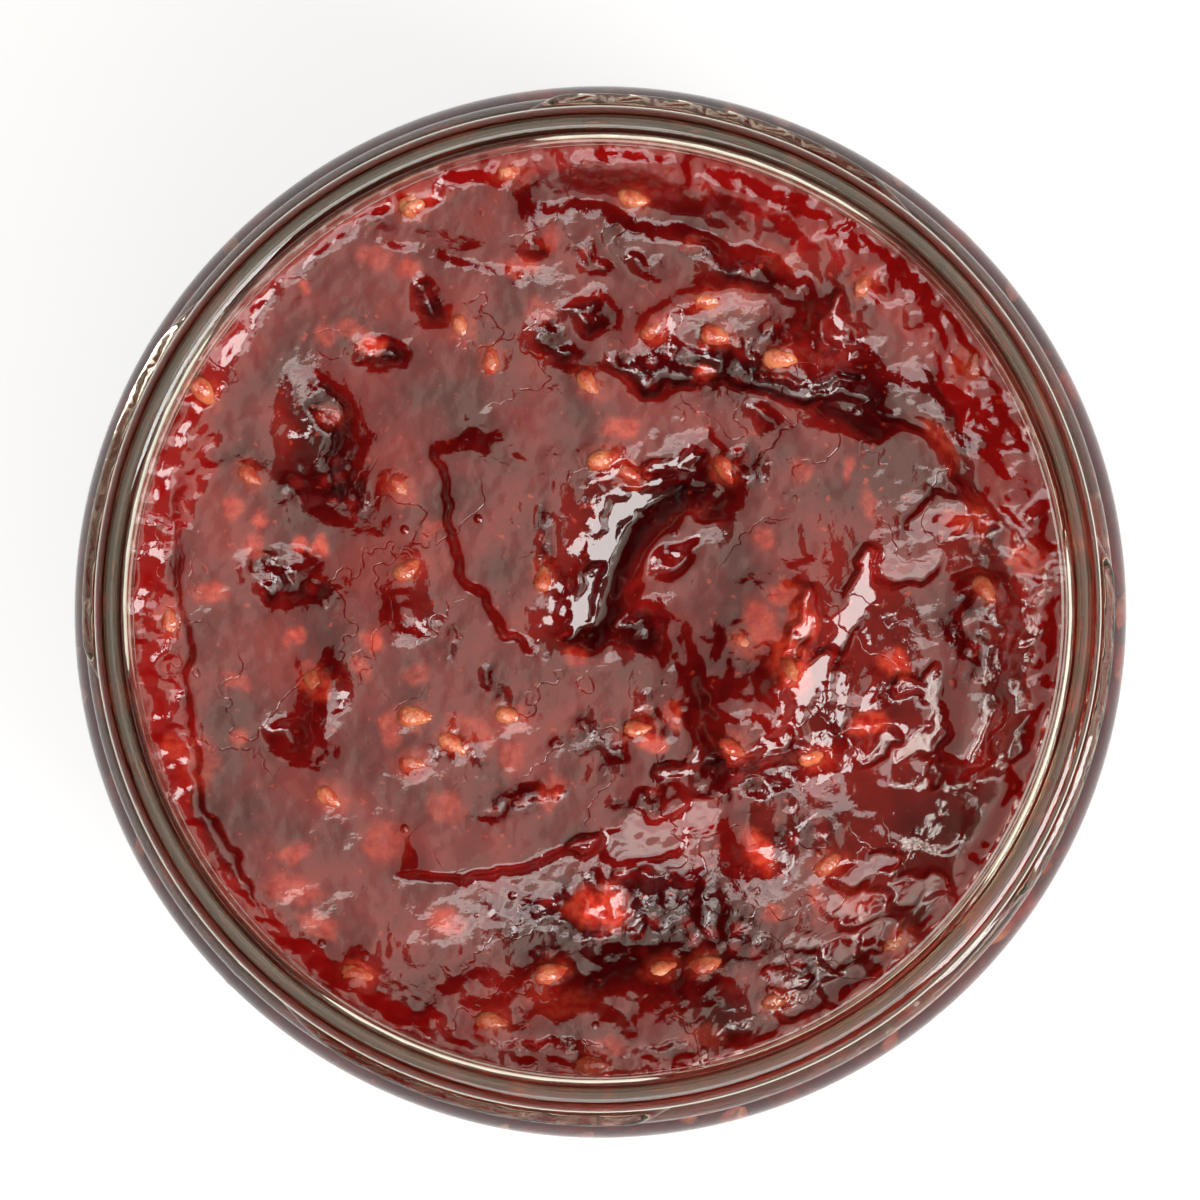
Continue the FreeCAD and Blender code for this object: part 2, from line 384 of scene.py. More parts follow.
def glassMaterial():
    # clear flint glass with a trace of colour by absorption, and a breath of haze inside the neck
    # above the fruit, which is left out on the side that the light comes in from
    material, tree, output = newMaterial("clearGlass")
    shader = addNode(tree, "ShaderNodeBsdfPrincipled", IOR=1.5)
    place = objectPlace(tree)
    parts = addNode(tree, "ShaderNodeSeparateXYZ", Vector=place).outputs
    flat = addNode(tree, "ShaderNodeCombineXYZ", X=parts["X"], Y=parts["Y"]).outputs[0]
    outer, inner = (mouthRadius + depth for depth in glass["hazeDepth"])
    inside = ramp(tree, lengthOf(tree, flat), outer * mm, inner * mm)
    start, full = (jarTop - drop for drop in glass["hazeDrop"])
    high = ramp(tree, parts["Z"], start * mm, full * mm)
    film = arithmetic(tree, "MULTIPLY", inside, high)
    turn = math.radians(glass["clearTurn"])
    across = dotWith(tree, place, (math.cos(turn), math.sin(turn), 0.0))
    far, near = glass["hazeClear"]
    film = arithmetic(tree, "MULTIPLY", film, ramp(tree, across, far * mm, near * mm))
    haze = arithmetic(tree, "MULTIPLY", film, noiseValue(tree, place, 2600.0))
    setInputs(tree, shader, {
        "Roughness": ramp(tree, haze, 0.0, 1.0, glass["plainRoughness"], glass["hazeRoughness"]),
        "Transmission Weight": ramp(tree, haze, 0.15, 0.65, 1.0, 0.9),
        "Base Color": blendColour(tree, film, glass["clearColour"], glass["hazeColour"])})
    tree.links.new(shader.outputs[0], output.inputs["Surface"])
    absorb = addNode(tree, "ShaderNodeVolumeAbsorption", Color=glass["bodyTint"],
                     Density=glass["bodyDensity"])
    tree.links.new(absorb.outputs[0], output.inputs["Volume"])
    return material


fruit = {
    "fillDrop": 8.2,             # lip to the mean level
    "intoWall": 0.2,             # how far the fruit reaches into the glass
    "rightSlope": 0.235,         # the right side runs down towards the glass
    "rightSlopeFrom": 20.5,
    "rightSlopeTurn": -22.0,     # degrees
    "rightSlopeBend": 3.0,       # how gradually it begins
    "swirl": 0.8,                # how far outlines wander from the drawn lines
    "swirlCell": 4.2,
    "wallRise": 0.5,             # climb at the glass, and how near to it
    "wallRiseWidth": 1.2,
    "bandLean": 0.18,            # height of the tilted band at the glass for each unit of its width
    "slowWave": (0.30, 13.0),    # each wave's height, and the size of its cells
    "pulpWave": (0.42, 2.6),
    "pulpRipple": (0.15, 0.9),
    "gelWave": (0.08, 2.4),
    "gelRipple": (0.030, 0.9),
    "plateX": (0.32, 1.3),       # how far the outlines of plates and sunken pulp are frayed
    "plateY": (0.32, 1.3),
    "sunkenX": (0.35, 1.3),
    "sunkenY": (0.35, 1.3),
    "band": (0.35, 3.0),         # share by which the tilted band's width varies
    "pulpOutline": (0.35, 2.5),  # share of a patch by which its outline varies
    "plateEdge": (0.26, 0.24),   # bell of an oval at which it begins, and over how much it fades in
    "pulpEdge": (0.28, 0.4),
    "hollowShadeFull": 1.4,             # depth below the level at which the painted shade of a hollow is darkest
    "seedMound": 0.28,           # gel drawn up over each seed
    "across": 286,               # points of the surface grid each way
    "sideRows": 27,
    "lowest": 54.4,              # the surface stays above the first row of the side
    "sideFrom": 53.9,
}
# every noise has its own start, so that changing one leaves the others as they are
noiseStarts = {
    "slowWave": 11, "pulpOutline": 21, "pulpWave": 31, "pulpRipple": 41, "gelWave": 51, "gelRipple": 57,
    "swirlX": 61, "swirlY": 71, "band": 81, "plateX": 91, "plateY": 95, "sunkenX": 161, "sunkenY": 171}
fillLevel = jarTop - fruit["fillDrop"]

# Crests and furrows left by the spoon: height, width on the left and on the right of the line,
# and points (x, y), all in millimetres.
folds = {
    "middleFurrow": (-1.9, 1.3, 3.2, [
        (12.4, 10.3), (10.2, 9.5), (7.8, 9.5), (5.2, 8.7), (2.9, 6.5), (1.2, 3.1), (0.2, -0.5),
        (-0.6, -4.3)]),
    "middleBank": (0.45, 3, 1.4, [(11, 7.1), (7.6, 7.3), (5, 5.1), (3.6, 1.5), (2.8, -2.5)]),
    "leftCrease": (0.62, 6.5, 0.36, [
        (-13.2, 14.7), (-12.6, 12.3), (-11.6, 8.7), (-11.2, 5.1), (-10, 2.3), (-8.2, 0.3), (-6.6, -2.1),
        (-4.2, -4.7)]),
    "creaseHollow": (-0.24, 1.3, 1.8, [(-10.2, 16.3), (-7.8, 14.3), (-4.2, 13.3), (-0.6, 14.3)]),
    "tongueEdge": (2.1, 9.5, 3.2, [
        (7.4, -12.2), (13.4, -9.7), (16.2, -6.3), (17.6, -2.5), (19.2, 1.1), (20.7, 3.9), (22.3, 6.7)]),
    "tongueInnerFold": (0.9, 1.6, 0.5, [(13.4, -8.2), (15.9, -5.1), (17, -1.3), (17.6, 2.3)]),
    "tongueTip": (0.6, 2, 0.9, [(7.4, -6.5), (10.6, -7.8), (13.8, -8.2), (15.8, -6.5)]),
    "lowerRidge": (0.8, 4.6, 0.5, [
        (-17, -20.7), (-11.8, -20.9), (-6.2, -20.1), (-1.4, -19), (3.4, -17.5), (8.2, -15.9)]),
    "upperArc": (0.95, 2.6, 1.5, [
        (-8.6, 32.3), (-3, 33.2), (3.4, 32), (9, 30.6), (15.4, 27.7), (20.2, 24.3)]),
    "upperRightFurrow": (-1.25, 2.8, 0.5, [
        (-0.6, 21.5), (2.2, 18.4), (5, 17.6), (8.2, 18.6), (11.8, 18.4), (16.2, 16.9), (21, 17),
        (25.8, 14.3), (29.4, 10.3), (31, 6.3)]),
    "farRightTube": (0.6, 1, 1.5, [(21.9, 17.3), (26.2, 14.3), (29.1, 10.3), (31.4, 5.5)]),
    "farRightRidge": (1.5, 2.2, 2.6, [(30.2, 3.9), (31, -2.5), (30.2, -8.9), (28.6, -14.5)]),
    "leftLedge": (0.38, 5, 0.36, [
        (-31.8, 13.5), (-33.2, 8.7), (-33, 3.1), (-32.7, -2.5), (-32.1, -8.1), (-31.1, -13.7),
        (-29.5, -18.5), (-26.8, -23.3), (-23.4, -27.7)]),
    "softFold": (0.36, 1.4, 1, [(-18.6, 30.7), (-13.4, 29), (-7.8, 27.7), (-3, 27.7)]),
    "bottomLedge": (1, 4, 2, [
        (-23.8, -27.7), (-17.4, -31.9), (-11.8, -33.3), (-6.2, -33.7), (0.2, -33.9), (7.4, -34.5),
        (13, -33.7)]),
    "smallWave": (0.35, 1, 1, [(3.4, 22.3), (7.4, 24.7), (11.4, 25.5), (16.2, 23.9)]),
}

# Share of its length over which a fold fades at its start and its end, where it isn't the usual one
usualFade = (0.15, 0.15)
foldFades = {"tongueEdge": (0.15, 0.6)}

# Rounded hollows and lumps: x, y, height, half widths and the turn of the first in degrees
lumps = {
    "pool": (31.4, -15.3, -0.8, 9, 12, 0),
    "eye": (6, 4.1, -1, 1.9, 0.8, 35),
    "eyeMound": (5.6, 5.5, 0.5, 3.6, 2.4, 35),
    "underFurrow": (3.4, -1.5, -1.3, 2, 1.8, 0),
    "paleOval": (1, -3.1, 0.6, 1.7, 0.8, 0),
    "seedLump": (9.4, 10.7, 1.2, 1.6, 1.3, -50),
    "glossyLump": (-21.3, -6.5, 1, 1.4, 2.3, -20),
    "pitBelow": (-24.3, -10.1, -1, 2, 1.2, -20),
    "bubbleLump": (-15.5, -0.3, 0.8, 1.5, 1.8, 0),
    "smallPit": (13.4, 15.1, -0.7, 1.8, 0.9, -45),
    "darkOval": (20.3, 15.9, -1.9, 3, 1.3, -5),
    "valleyLump": (17.9, 22.4, 1.9, 2.4, 2.2, 0),
    "pitA": (-13.8, 24.7, -0.9, 1, 1.3, 0),
    "pitB": (-17, 20.5, -0.8, 2.2, 1.2, -10),
    "leftPit": (-22, 12.7, -1.7, 2.8, 5.6, 15),
    "leftPitLow": (-24.4, 2.5, -1.1, 3.4, 1.9, 0),
    "topPitA": (-5, 28.9, -0.5, 0.8, 1, 0),
    "topPitB": (-0.8, 28, -0.6, 1.7, 0.7, -35),
    "topPitC": (-0.6, 23.5, -0.9, 1.9, 1.1, -30),
    "topPitD": (-3, 21.1, -0.9, 2.1, 1.3, -30),
    "topPitE": (11.4, 27.1, -0.9, 3.8, 1, -15),
    "topPitF": (3.8, 27.7, -0.5, 1.4, 0.6, -40),
    "berryLow": (-0.4, -24.1, 1.3, 2.1, 1.8, 0),
    "ringedBump": (3.4, -21.3, 0.9, 1.3, 0.9, -30),
    "poolLumpA": (21.6, -6.5, 0.8, 1.6, 1.6, 0),
    "poolLumpB": (20.8, -9.5, 0.9, 2.4, 1.4, 0),
    "ringedLump": (6.8, -15.5, 0.9, 1.7, 1.3, 0),
    "salmonLump": (12.4, -18.6, 1.1, 1.7, 2.8, 30),
    "edgeLump": (26.3, -22.1, 0.9, 1.5, 1.2, 30),
    "bottomHollow": (1.8, -25.7, -2.3, 10, 4.4, 4),
    "leftBank": (-16.6, -7.3, 0.9, 10, 13, 0),
    "rightBank": (21.4, -26.1, 0.5, 6.5, 5, 40),
    "topBank": (-3, 30.3, 0.5, 12, 4, 0),
}

# Ovals where the surface is rough with pulp: x, y, half widths, turn and strength
pulpPatches = [
    (-21.4, 15.1, 1.6, 3.6, 10, 1), (-20.2, 9.5, 2.4, 2.8, 30, 1), (-24.2, 9.5, 1.8, 1.6, 0, 0.9),
    (-26.2, 2.7, 2, 2.2, 0, 0.9), (-22.2, 1.5, 2.2, 1.4, 0, 0.8), (-17, 20.5, 2.6, 1.4, -10, 0.8),
    (-13.8, 24.7, 1.3, 1.3, 0, 0.9), (8.2, 19.5, 7, 2, 0, 0.8), (3.4, 19.5, 3.6, 2.6, -30, 0.8),
    (16.2, 21.9, 5, 1.6, -10, 0.8), (11.4, 27.1, 4, 1, -15, 0.9), (-0.6, 23.5, 2, 1.2, -30, 1),
    (-3, 21.1, 2.2, 1.4, -30, 1), (-0.8, 28, 1.8, 0.8, -35, 0.9), (11.8, 11.5, 2.6, 2.6, -20, 0.8),
    (-4.4, 5.5, 0.6, 4, 0, 0.8), (3.4, -1.7, 2.4, 2.2, 0, 0.9), (-0.6, -10.5, 3.4, 2.2, -20, 0.8),
    (5, -8.9, 4.6, 2.2, 20, 0.8), (11.4, -12.9, 6, 3, 10, 0.9), (4.2, -15.3, 4, 2, 10, 0.7),
    (-6.2, -15.3, 4, 1.6, 10, 0.8), (3.4, -24.1, 9.5, 3.6, 4, 1), (9.8, -27.3, 6, 3, 10, 0.9),
    (16.2, -16.9, 5, 3, -30, 0.8), (22.6, -23.3, 5, 4, 40, 0.6), (17.8, -28.1, 5, 3, 40, 0.7),
    (22.6, -8.5, 3.4, 4, 10, 0.7), (29.8, -3.3, 2.2, 6, 5, 0.9), (31.4, -10.5, 1.8, 4, 5, 0.8),
    (-11, -10.9, 6, 2.6, -15, 0.5), (-12.6, -2.5, 4, 2.6, -20, 0.45), (-7.8, -6.5, 5, 2, -30, 0.5),
    (29, 7.1, 2, 4, 30, 0.6), (-9.4, 27.9, 8, 2, 0, 0.25),
]

# Pulp and seeds just under the gel that show through it: x, y, half widths, turn and strength
sunkenPulp = [
    (1.8, 14.5, 1.6, 0.9, 0, 0.75), (-3.8, 29.5, 0.8, 1.3, 0, 0.6), (-13.4, 6.3, 0.6, 1.2, -30, 0.5),
    (-22.2, 5.1, 0.8, 0.9, 0, 1), (-23.8, 5.3, 0.7, 0.8, 0, 0.9), (16.2, -0.9, 1.2, 1.8, 30, 0.8),
    (-17.8, 28.1, 1.6, 0.8, -10, 0.5), (-15.2, 27.2, 1.1, 0.9, 30, 0.7), (-6.2, 27.4, 1.6, 0.8, 10, 0.6),
    (-4.8, 24, 1.4, 1, -40, 0.45), (-15.8, 9.7, 0.9, 1.3, 30, 0.55), (-29.1, 8.1, 0.8, 1.2, 0, 0.7),
    (-31, 1.3, 1.4, 0.9, 0, 0.75), (-18.2, 21.2, 1.2, 0.8, 0, 1), (-19.8, 22.3, 1.6, 0.8, -10, 0.5),
    (-28.8, -5.7, 1.2, 0.6, -25, 0.5), (-28.6, -10.2, 0.9, 0.7, 0, 0.6), (-17.1, -18.5, 2, 1.7, 10, 0.55),
    (-24.3, -19.4, 1.4, 0.7, 20, 0.6), (-24.3, -22.3, 2.6, 1.2, -15, 0.5),
    (-22.4, -25.1, 1.8, 1.1, -25, 0.7), (-19.2, -28.7, 1.6, 0.9, -15, 0.8),
    (-12.2, -24.9, 1.5, 1.2, 0, 0.7), (-8.4, -32.7, 1.4, 0.5, -8, 0.6), (-16.6, -9.5, 1.1, 1.5, 10, 0.65),
    (-10.2, -9.5, 2.2, 1.1, -20, 0.5), (-6.8, -11.8, 1.1, 1.4, 0, 0.5), (-3.8, -14.7, 1, 1.7, -25, 0.65),
    (-12.1, -15.7, 1.6, 1.2, -20, 0.55), (-14.6, -5.1, 1.2, 0.9, 0, 0.45),
    (-22.7, -5.7, 1.3, 1.6, 30, 0.9), (-24.2, -2.1, 0.9, 0.8, 0, 0.9), (-18, -2.5, 0.8, 1, 0, 0.9),
    (1.6, 14.5, 1.2, 0.8, 0, 0.6), (16.2, 11.1, 0.9, 1, 0, 0.5), (20, 11.3, 0.5, 0.9, -10, 0.8),
    (21.5, 8.5, 0.7, 1.3, 10, 0.5), (13.2, 5.7, 0.8, 0.9, 0, 0.6), (15.1, 1.3, 1.6, 1, 0, 0.9),
    (28.7, 7.1, 1.6, 0.8, -15, 0.6), (34.3, 4.1, 1.8, 1.3, 0, 0.9), (13, -1.1, 1.4, 2.2, 20, 0.7),
    (15.1, -4.1, 1.5, 2.8, 25, 1), (6, -8.5, 0.9, 1.3, 10, 0.8), (4.4, -10.7, 1.2, 0.8, -10, 0.9),
    (1, -23.8, 1.4, 2, 20, 1), (-1, -23.7, 1.6, 1.6, 0, 1), (12.7, -19.1, 1, 2.3, 30, 0.95),
    (17.5, -23, 0.7, 1.4, 10, 0.6), (21.5, -9, 1.7, 1, 10, 0.8), (20.7, -23.3, 1.6, 1.3, 0, 0.4),
    (23.9, -26.5, 1.6, 1, 40, 0.8), (1, -34.7, 1.2, 0.9, 0, 0.8), (14, -24.2, 1.1, 0.8, 0, 0.6),
    (8.2, -34.1, 2, 0.9, 0, 0.5), (-1.8, -3.7, 1, 0.7, 0, 0.7), (29, 19.5, 1.2, 1.4, 0, 0.8),
    (8.2, 18.7, 1.2, 0.6, 10, 0.8), (23.6, -4.3, 1.6, 1, -30, 0.9), (11.8, 24.7, 2, 1.2, -20, 0.3),
    (7.4, 29.1, 1.2, 0.7, 0, 0.4), (14.6, 28, 1.8, 1, -30, 0.35), (27.4, 13.5, 2.4, 0.9, -55, 0.5),
    (30.4, 7.1, 0.9, 2, 10, 0.5), (-21.4, 15.5, 1.4, 1, 0, 0.4), (-19, -4.5, 1.2, 0.6, -45, 0.6),
    (-27.1, 7.1, 0.6, 0.8, 0, 0.8), (-27.4, 5.1, 0.9, 1.1, 0, 0.7), (-21.8, 21.9, 0.9, 0.8, 0, 0.5),
    (-23.5, 26, 0.5, 0.4, 0, 0.9), (-23.3, 25.5, 0.4, 0.4, 0, 0.9), (-3, -31.3, 3, 1.2, -5, 0.3),
    (-31.8, -12.1, 1.6, 2.4, 0, 0.4), (-33.8, -10.9, 1, 1, 0, 0.6),
]

# Places where the gel stays smooth: x, y, half widths, turn
calmPlaces = [
    (26.6, -16.1, 7.5, 9, -15), (2, 6.9, 2.6, 4.4, -38), (-1.2, 0.7, 1.2, 4.5, -8),
    (20, -1.1, 2.2, 6, -28), (-15.8, -20.1, 8, 1.6, 3), (26.6, -7.3, 2.6, 3, 0),
]

# Flat plates of gel: steepness, which way they lean, and ovals (x, y, half widths, turn)
tiltedPlates = {
    "upperRibbon": (0.51, -32, [(7.4, 12.3, 1.3, 0.7, 15), (5.2, 11.6, 1.6, 0.75, 25)]),
    "upperRibbonLeft": (0.5, -32, [(2.2, 10.5, 1.6, 0.5, 10), (0.2, 10.1, 1, 0.4, 0)]),
    "middleRibbon": (0.5, -32, [(5.6, 9.3, 1.5, 0.6, 15), (3.4, 8.7, 1.8, 0.75, 20),
        (1.6, 7.3, 1.5, 1.2, 45), (0.5, 5.1, 1.5, 0.9, 60)]),
    "lowRibbon": (0.51, -32, [(-0.8, 2.1, 1.7, 0.65, 66), (-1.5, -0.3, 1.7, 0.7, 70),
        (-2.1, -2.2, 0.9, 0.4, 60)]),
    "tongueTop": (0.51, -32, [(21.9, 3.7, 1.4, 1.3, 60), (21.1, 1.5, 2, 1.2, 62), (20, -0.7, 2, 1, 60),
        (18.8, -3, 1.8, 0.9, 58)]),
    "tongueLow": (0.51, -32, [(17.6, -4.7, 1.8, 0.8, 56), (16.4, -6.8, 1.8, 1.1, 55),
        (15.2, -9, 1.6, 1.2, 50)]),
    "tongueInner": (0.51, -32, [(16.8, 0.9, 1.2, 0.7, 65), (16.3, -1.3, 1.4, 0.8, 72),
        (15.8, -3.1, 0.9, 0.5, 60)]),
    "belowTongue": (0.5, -32, [(13.4, -10.6, 1.8, 0.9, 35), (11, -11.4, 1.6, 0.7, 14)]),
    "belowLeft": (0.48, -32, [(8.2, -12.2, 1.8, 0.8, 14), (5.6, -13, 1.4, 0.7, 10)]),
    "poolLeft": (0.5, -32, [(19.5, -5.9, 0.8, 1.3, 0), (19.2, -8.2, 0.8, 1.2, 10),
        (19.1, -10.9, 1, 1.6, 0), (21, -11.8, 1.8, 0.9, -5), (22.9, -11, 1.4, 1, 25)]),
    "poolRight": (0.51, -32, [(24.6, -6, 1.5, 0.8, 0), (26.7, -6.3, 0.9, 1.4, 0),
        (27.1, -9, 0.7, 1.6, 0), (26.2, -10.6, 1.4, 1.2, 0), (24.3, -11.4, 1.2, 0.8, 10),
        (26.9, -13, 0.6, 1.3, 0)]),
    "topRight": (0.51, -32, [(35.7, 0.5, 0.7, 1.2, 20), (35.2, -1.3, 1.2, 1.2, 20),
        (33.8, -2.5, 1.3, 0.8, 30)]),
    "rightBit": (0.5, -32, [(34.9, -4.3, 0.7, 0.7, 0)]),
    "rightBlock": (0.51, -32, [(33.9, -6.3, 1.1, 1.2, 8), (33.5, -8.2, 1.4, 1.6, 8),
        (32.8, -10.6, 1.6, 1.6, 14), (31.7, -12.9, 1.2, 0.9, 20)]),
    "valleyTop": (0.51, -32, [(19.1, 24.2, 0.6, 1, 0), (19.2, 22.3, 1.2, 1.3, 0), (20.2, 20.5, 1, 0.7, 0)]),
    "valleyLeft": (0.51, -32, [(5.6, 20.4, 1, 0.5, 40)]),
    "valleyLineA": (0.5, -32, [(11.8, 21.1, 0.8, 0.3, -55), (12.8, 19.7, 1, 0.35, -45)]),
    "valleyLineB": (0.5, -32, [(14.7, 18.6, 1.5, 0.35, -22), (17.1, 18, 1.3, 0.35, -6),
        (19.5, 18.1, 1.2, 0.3, 8)]),
    "ridgeShine": (0.46, -32, [(-0.6, -18.9, 1.8, 0.7, 16), (2.2, -18.2, 1.8, 0.8, 14),
        (4.6, -17.2, 1.6, 0.8, 16)]),
    "ridgeShineRight": (0.46, -32, [(7.4, -16.2, 1.3, 0.7, 15)]),
    "lowBitA": (0.46, -32, [(2, -20.7, 1.2, 0.5, 10)]),
    "lowBitB": (0.48, -32, [(2.8, -25.3, 1, 0.9, 0)]),
    "lumpShine": (0.5, -32, [(13.6, -19, 1.3, 0.6, -20)]),
    "edgeShine": (0.51, -32, [(25.9, -22.6, 1, 0.6, 30), (26.9, -21.5, 0.7, 0.5, 30)]),
    "lowEdgeShine": (0.5, -32, [(14.4, -30.5, 1.3, 0.4, -10), (16.2, -29.5, 1, 0.4, 10)]),
    "pool": (0.27, -6, [(27, -16.7, 5.2, 2.4, -8), (31, -16.5, 3.4, 3.6, 0), (23, -15.3, 2.6, 1.4, 0),
        (33.4, -19.3, 2.2, 3.6, -20)]),
    "bankA": (0.26, -74, [(20.2, -21, 2, 1.2, 25), (22.7, -20.2, 1.2, 1, 0)]),
    "bankB": (0.26, -74, [(24.6, -22.6, 1.9, 1.3, 35), (27, -21.7, 1, 0.9, 0)]),
    "bankC": (0.26, -74, [(21.1, -23.9, 2.3, 1.3, 20), (18.6, -23.4, 1.2, 0.9, 0)]),
    "bankD": (0.26, -74, [(22.6, -26.3, 2, 1.3, 40)]),
    "bankE": (0.26, -74, [(19, -27, 2, 1.4, 20), (16.2, -26.5, 1.2, 0.9, 0)]),
    "bankF": (0.26, -74, [(19.8, -29.8, 2.2, 1.2, 30)]),
    "bankG": (0.26, -74, [(16.2, -31.3, 2.2, 1.2, 15), (14.2, -29.3, 1.3, 0.9, 0)]),
    "ridgeBank": (0.26, -74, [(3.4, -18.1, 3.6, 1.6, 16), (8.2, -16.5, 2.2, 1.2, 20)]),
    "rightPlateau": (0.24, -74, [(24.6, 3.9, 2.6, 2, 30), (27.4, 7.1, 2.6, 2, 40)]),
}

# Seeds at the surface: x, y, turn in degrees and how far they stand out
seedPlaces = [
    (-31.4, 17.3, -50, 0.35), (-27.8, 10.7, -40, 0.35), (-14.6, 32.2, 35, 0.35), (-15.1, 32.6, 60, 0.2),
    (-11, 22.5, -75, 0.1), (-8.6, 20, 90, 0.25), (-0.8, 18, -55, 0.2), (-15.2, 3.3, 40, 0.3),
    (0.4, 12, 20, 0.45), (2.4, 10.9, -25, 0.4), (-4.4, 2.7, 85, 0.4), (8.8, 24.5, 0, 0.2),
    (4.4, 22.3, 40, 0.05), (9.6, 21.9, -10, 0.3), (14.4, 19.9, 0, 0.3), (21.2, 26, 60, 0.3),
    (2.8, 32.8, -10, 0.25), (30.8, 1.7, -60, 0.45), (11.6, -2.7, -40, 0.1), (3.2, -9.4, 10, 0.25),
    (10.8, -10.9, -15, 0.25), (17.2, -11.8, 0, 0.3), (18.3, -20.3, 35, 0.3), (5, -28.6, 20, 0.35),
    (8.4, -28.3, 15, 0.35), (-3.8, -28.9, 20, 0.3), (-19.2, -28.9, -15, 0.1), (-21.4, -15, -40, 0.35),
    (-7, -8.5, -15, 0.15), (-11.6, -10.5, -35, 0.15), (-14.7, -12.3, 0, 0.1), (-14.7, -8.5, 0, 0.15),
    (-22.7, -5.7, -50, 0.3), (-34.2, -0.9, 90, 0.3), (-8.4, -32.7, -8, 0.15), (-0.6, -36.2, 0, 0.3),
    (-6.8, 34.8, 5, 0.1), (23.9, -26.5, 40, 0.1), (-15.8, 9.7, -45, 0), (14.2, -31.3, 20, 0.1),
    (29.8, 19.3, 70, 0.1), (10, 11.1, -60, 0.3), (15.1, -4.7, -60, 0.25),
]

seedHalo = (1.7, 1.2)            # half widths of what each seed lifts and reddens round it

# Width of the thin tilted band of gel along the glass: direction in degrees and width
edgeBand = [
    (0, 3), (15, 5), (30, 4.6), (45, 4), (60, 4), (75, 3), (90, 1.6), (110, 2.2), (125, 0.7), (140, 0.9),
    (150, 2.4), (160, 4), (170, 3.2), (180, 3.3), (195, 4), (205, 1.5), (212, 0.6), (225, 2), (240, 2.1),
    (255, 2.6), (270, 2.4), (285, 0.8), (300, 0.8), (315, 1.2), (330, 2), (345, 1.8), (360, 3),
]


def smoothLine(points, spacing=0.4):
    # Catmull-Rom curve: between b and c it is half of
    # 2b + (c - a) t + (2a - 5b + 4c - d) t^2 + (3b - a - 3c + d) t^3
    p = np.array(points, dtype=float)
    p = np.concatenate([[2 * p[0] - p[1]], p, [2 * p[-1] - p[-2]]])
    spans = []
    for a, b, c, d in zip(p[:-3], p[1:-2], p[2:-1], p[3:]):
        t = np.linspace(0, 1, max(3, int(np.linalg.norm(c - b) / spacing)), endpoint=False)[:, None]
        spans.append(0.5 * (2 * b + (c - a) * t + (2 * a - 5 * b + 4 * c - d) * t ** 2
                            + (3 * b - a - 3 * c + d) * t ** 3))
    return np.concatenate(spans + [p[-2:-1]])


def foldRelief(x, y, fades, height, leftWidth, rightWidth, points):
    # a bell across the line, exp(-(distance / width)^2), with its own width on each side,
    # that fades over a share of its length at both ends
    line = smoothLine(points)
    start = line[:-1]
    step = line[1:] - start
    lengths = np.linalg.norm(step, axis=1)
    along = np.concatenate([[0], np.cumsum(lengths)])
    margin = 2.4 * max(leftWidth, rightWidth)             # past this the bell is next to nothing
    near = ((x > line[:, 0].min() - margin) & (x < line[:, 0].max() + margin)
            & (y > line[:, 1].min() - margin) & (y < line[:, 1].max() + margin))
    nearX, nearY = x[near], y[near]
    best = np.full(nearX.shape, np.inf)
    side = np.zeros_like(nearX)
    share = np.zeros_like(nearX)
    for k in range(len(step)):
        dx = nearX - start[k, 0]
        dy = nearY - start[k, 1]
        t = np.clip((dx * step[k, 0] + dy * step[k, 1]) / lengths[k] ** 2, 0, 1)
        away = (dx - t * step[k, 0]) ** 2 + (dy - t * step[k, 1]) ** 2
        nearer = away < best
        best = np.where(nearer, away, best)
        side = np.where(nearer, step[k, 0] * dy - step[k, 1] * dx, side)
        share = np.where(nearer, (along[k] + t * lengths[k]) / along[-1], share)
    width = np.where(side > 0, leftWidth, rightWidth)
    fade = easeStep(share / fades[0]) * easeStep((1 - share) / fades[1])
    relief = np.zeros_like(x)
    relief[near] = height * fade * np.exp(-best / width ** 2)
    return relief


def ovalBell(x, y, centreX, centreY, halfA, halfB, degrees):
    # exp(-a^2 - b^2) with a and b counted in half widths along the turned axes
    turn = math.radians(degrees)
    dx = x - centreX
    dy = y - centreY
    a = (dx * math.cos(turn) + dy * math.sin(turn)) / halfA
    b = (dy * math.cos(turn) - dx * math.sin(turn)) / halfB
    return np.exp(-a * a - b * b)


def calmShare(x, y):
    # the strongest of the ovals' bells at each place
    calm = np.zeros_like(x)
    for place in calmPlaces:
        calm = np.maximum(calm, ovalBell(x, y, *place))
    return easeStep(1.6 * calm)


def startedNoise(x, y, name, cell, octaves):
    # noise that begins the same way each run, by its name
    return swirlNoise(x, y, cell, noiseStarts[name], octaves)


def wave(x, y, name, octaves):
    # height times noise
    height, cell = fruit[name]
    return height * startedNoise(x, y, name, cell, octaves)


def faded(bell, name):
    # from 0 where the bell is at the edge's first value to 1 where it has risen by the second
    begin, span = fruit[name]
    return easeStep((bell - begin) / span)


def swirled(x, y):
    # everything is drawn in slightly swirled coordinates, so that no outline stays smooth
    reach = fruit["swirl"] * (1 - 0.7 * calmShare(x, y))
    cell = fruit["swirlCell"]
    return (x + reach * startedNoise(x, y, "swirlX", cell, 4),
            y + reach * startedNoise(x, y, "swirlY", cell, 4))


def bandWidth(x, y):
    # read off the list by direction, and made uneven by a third either way
    theta = np.degrees(np.arctan2(y, x)) % 360
    angles, widths = np.array(edgeBand).T
    return np.interp(theta, angles, widths) * (1 + wave(x, y, "band", 2))


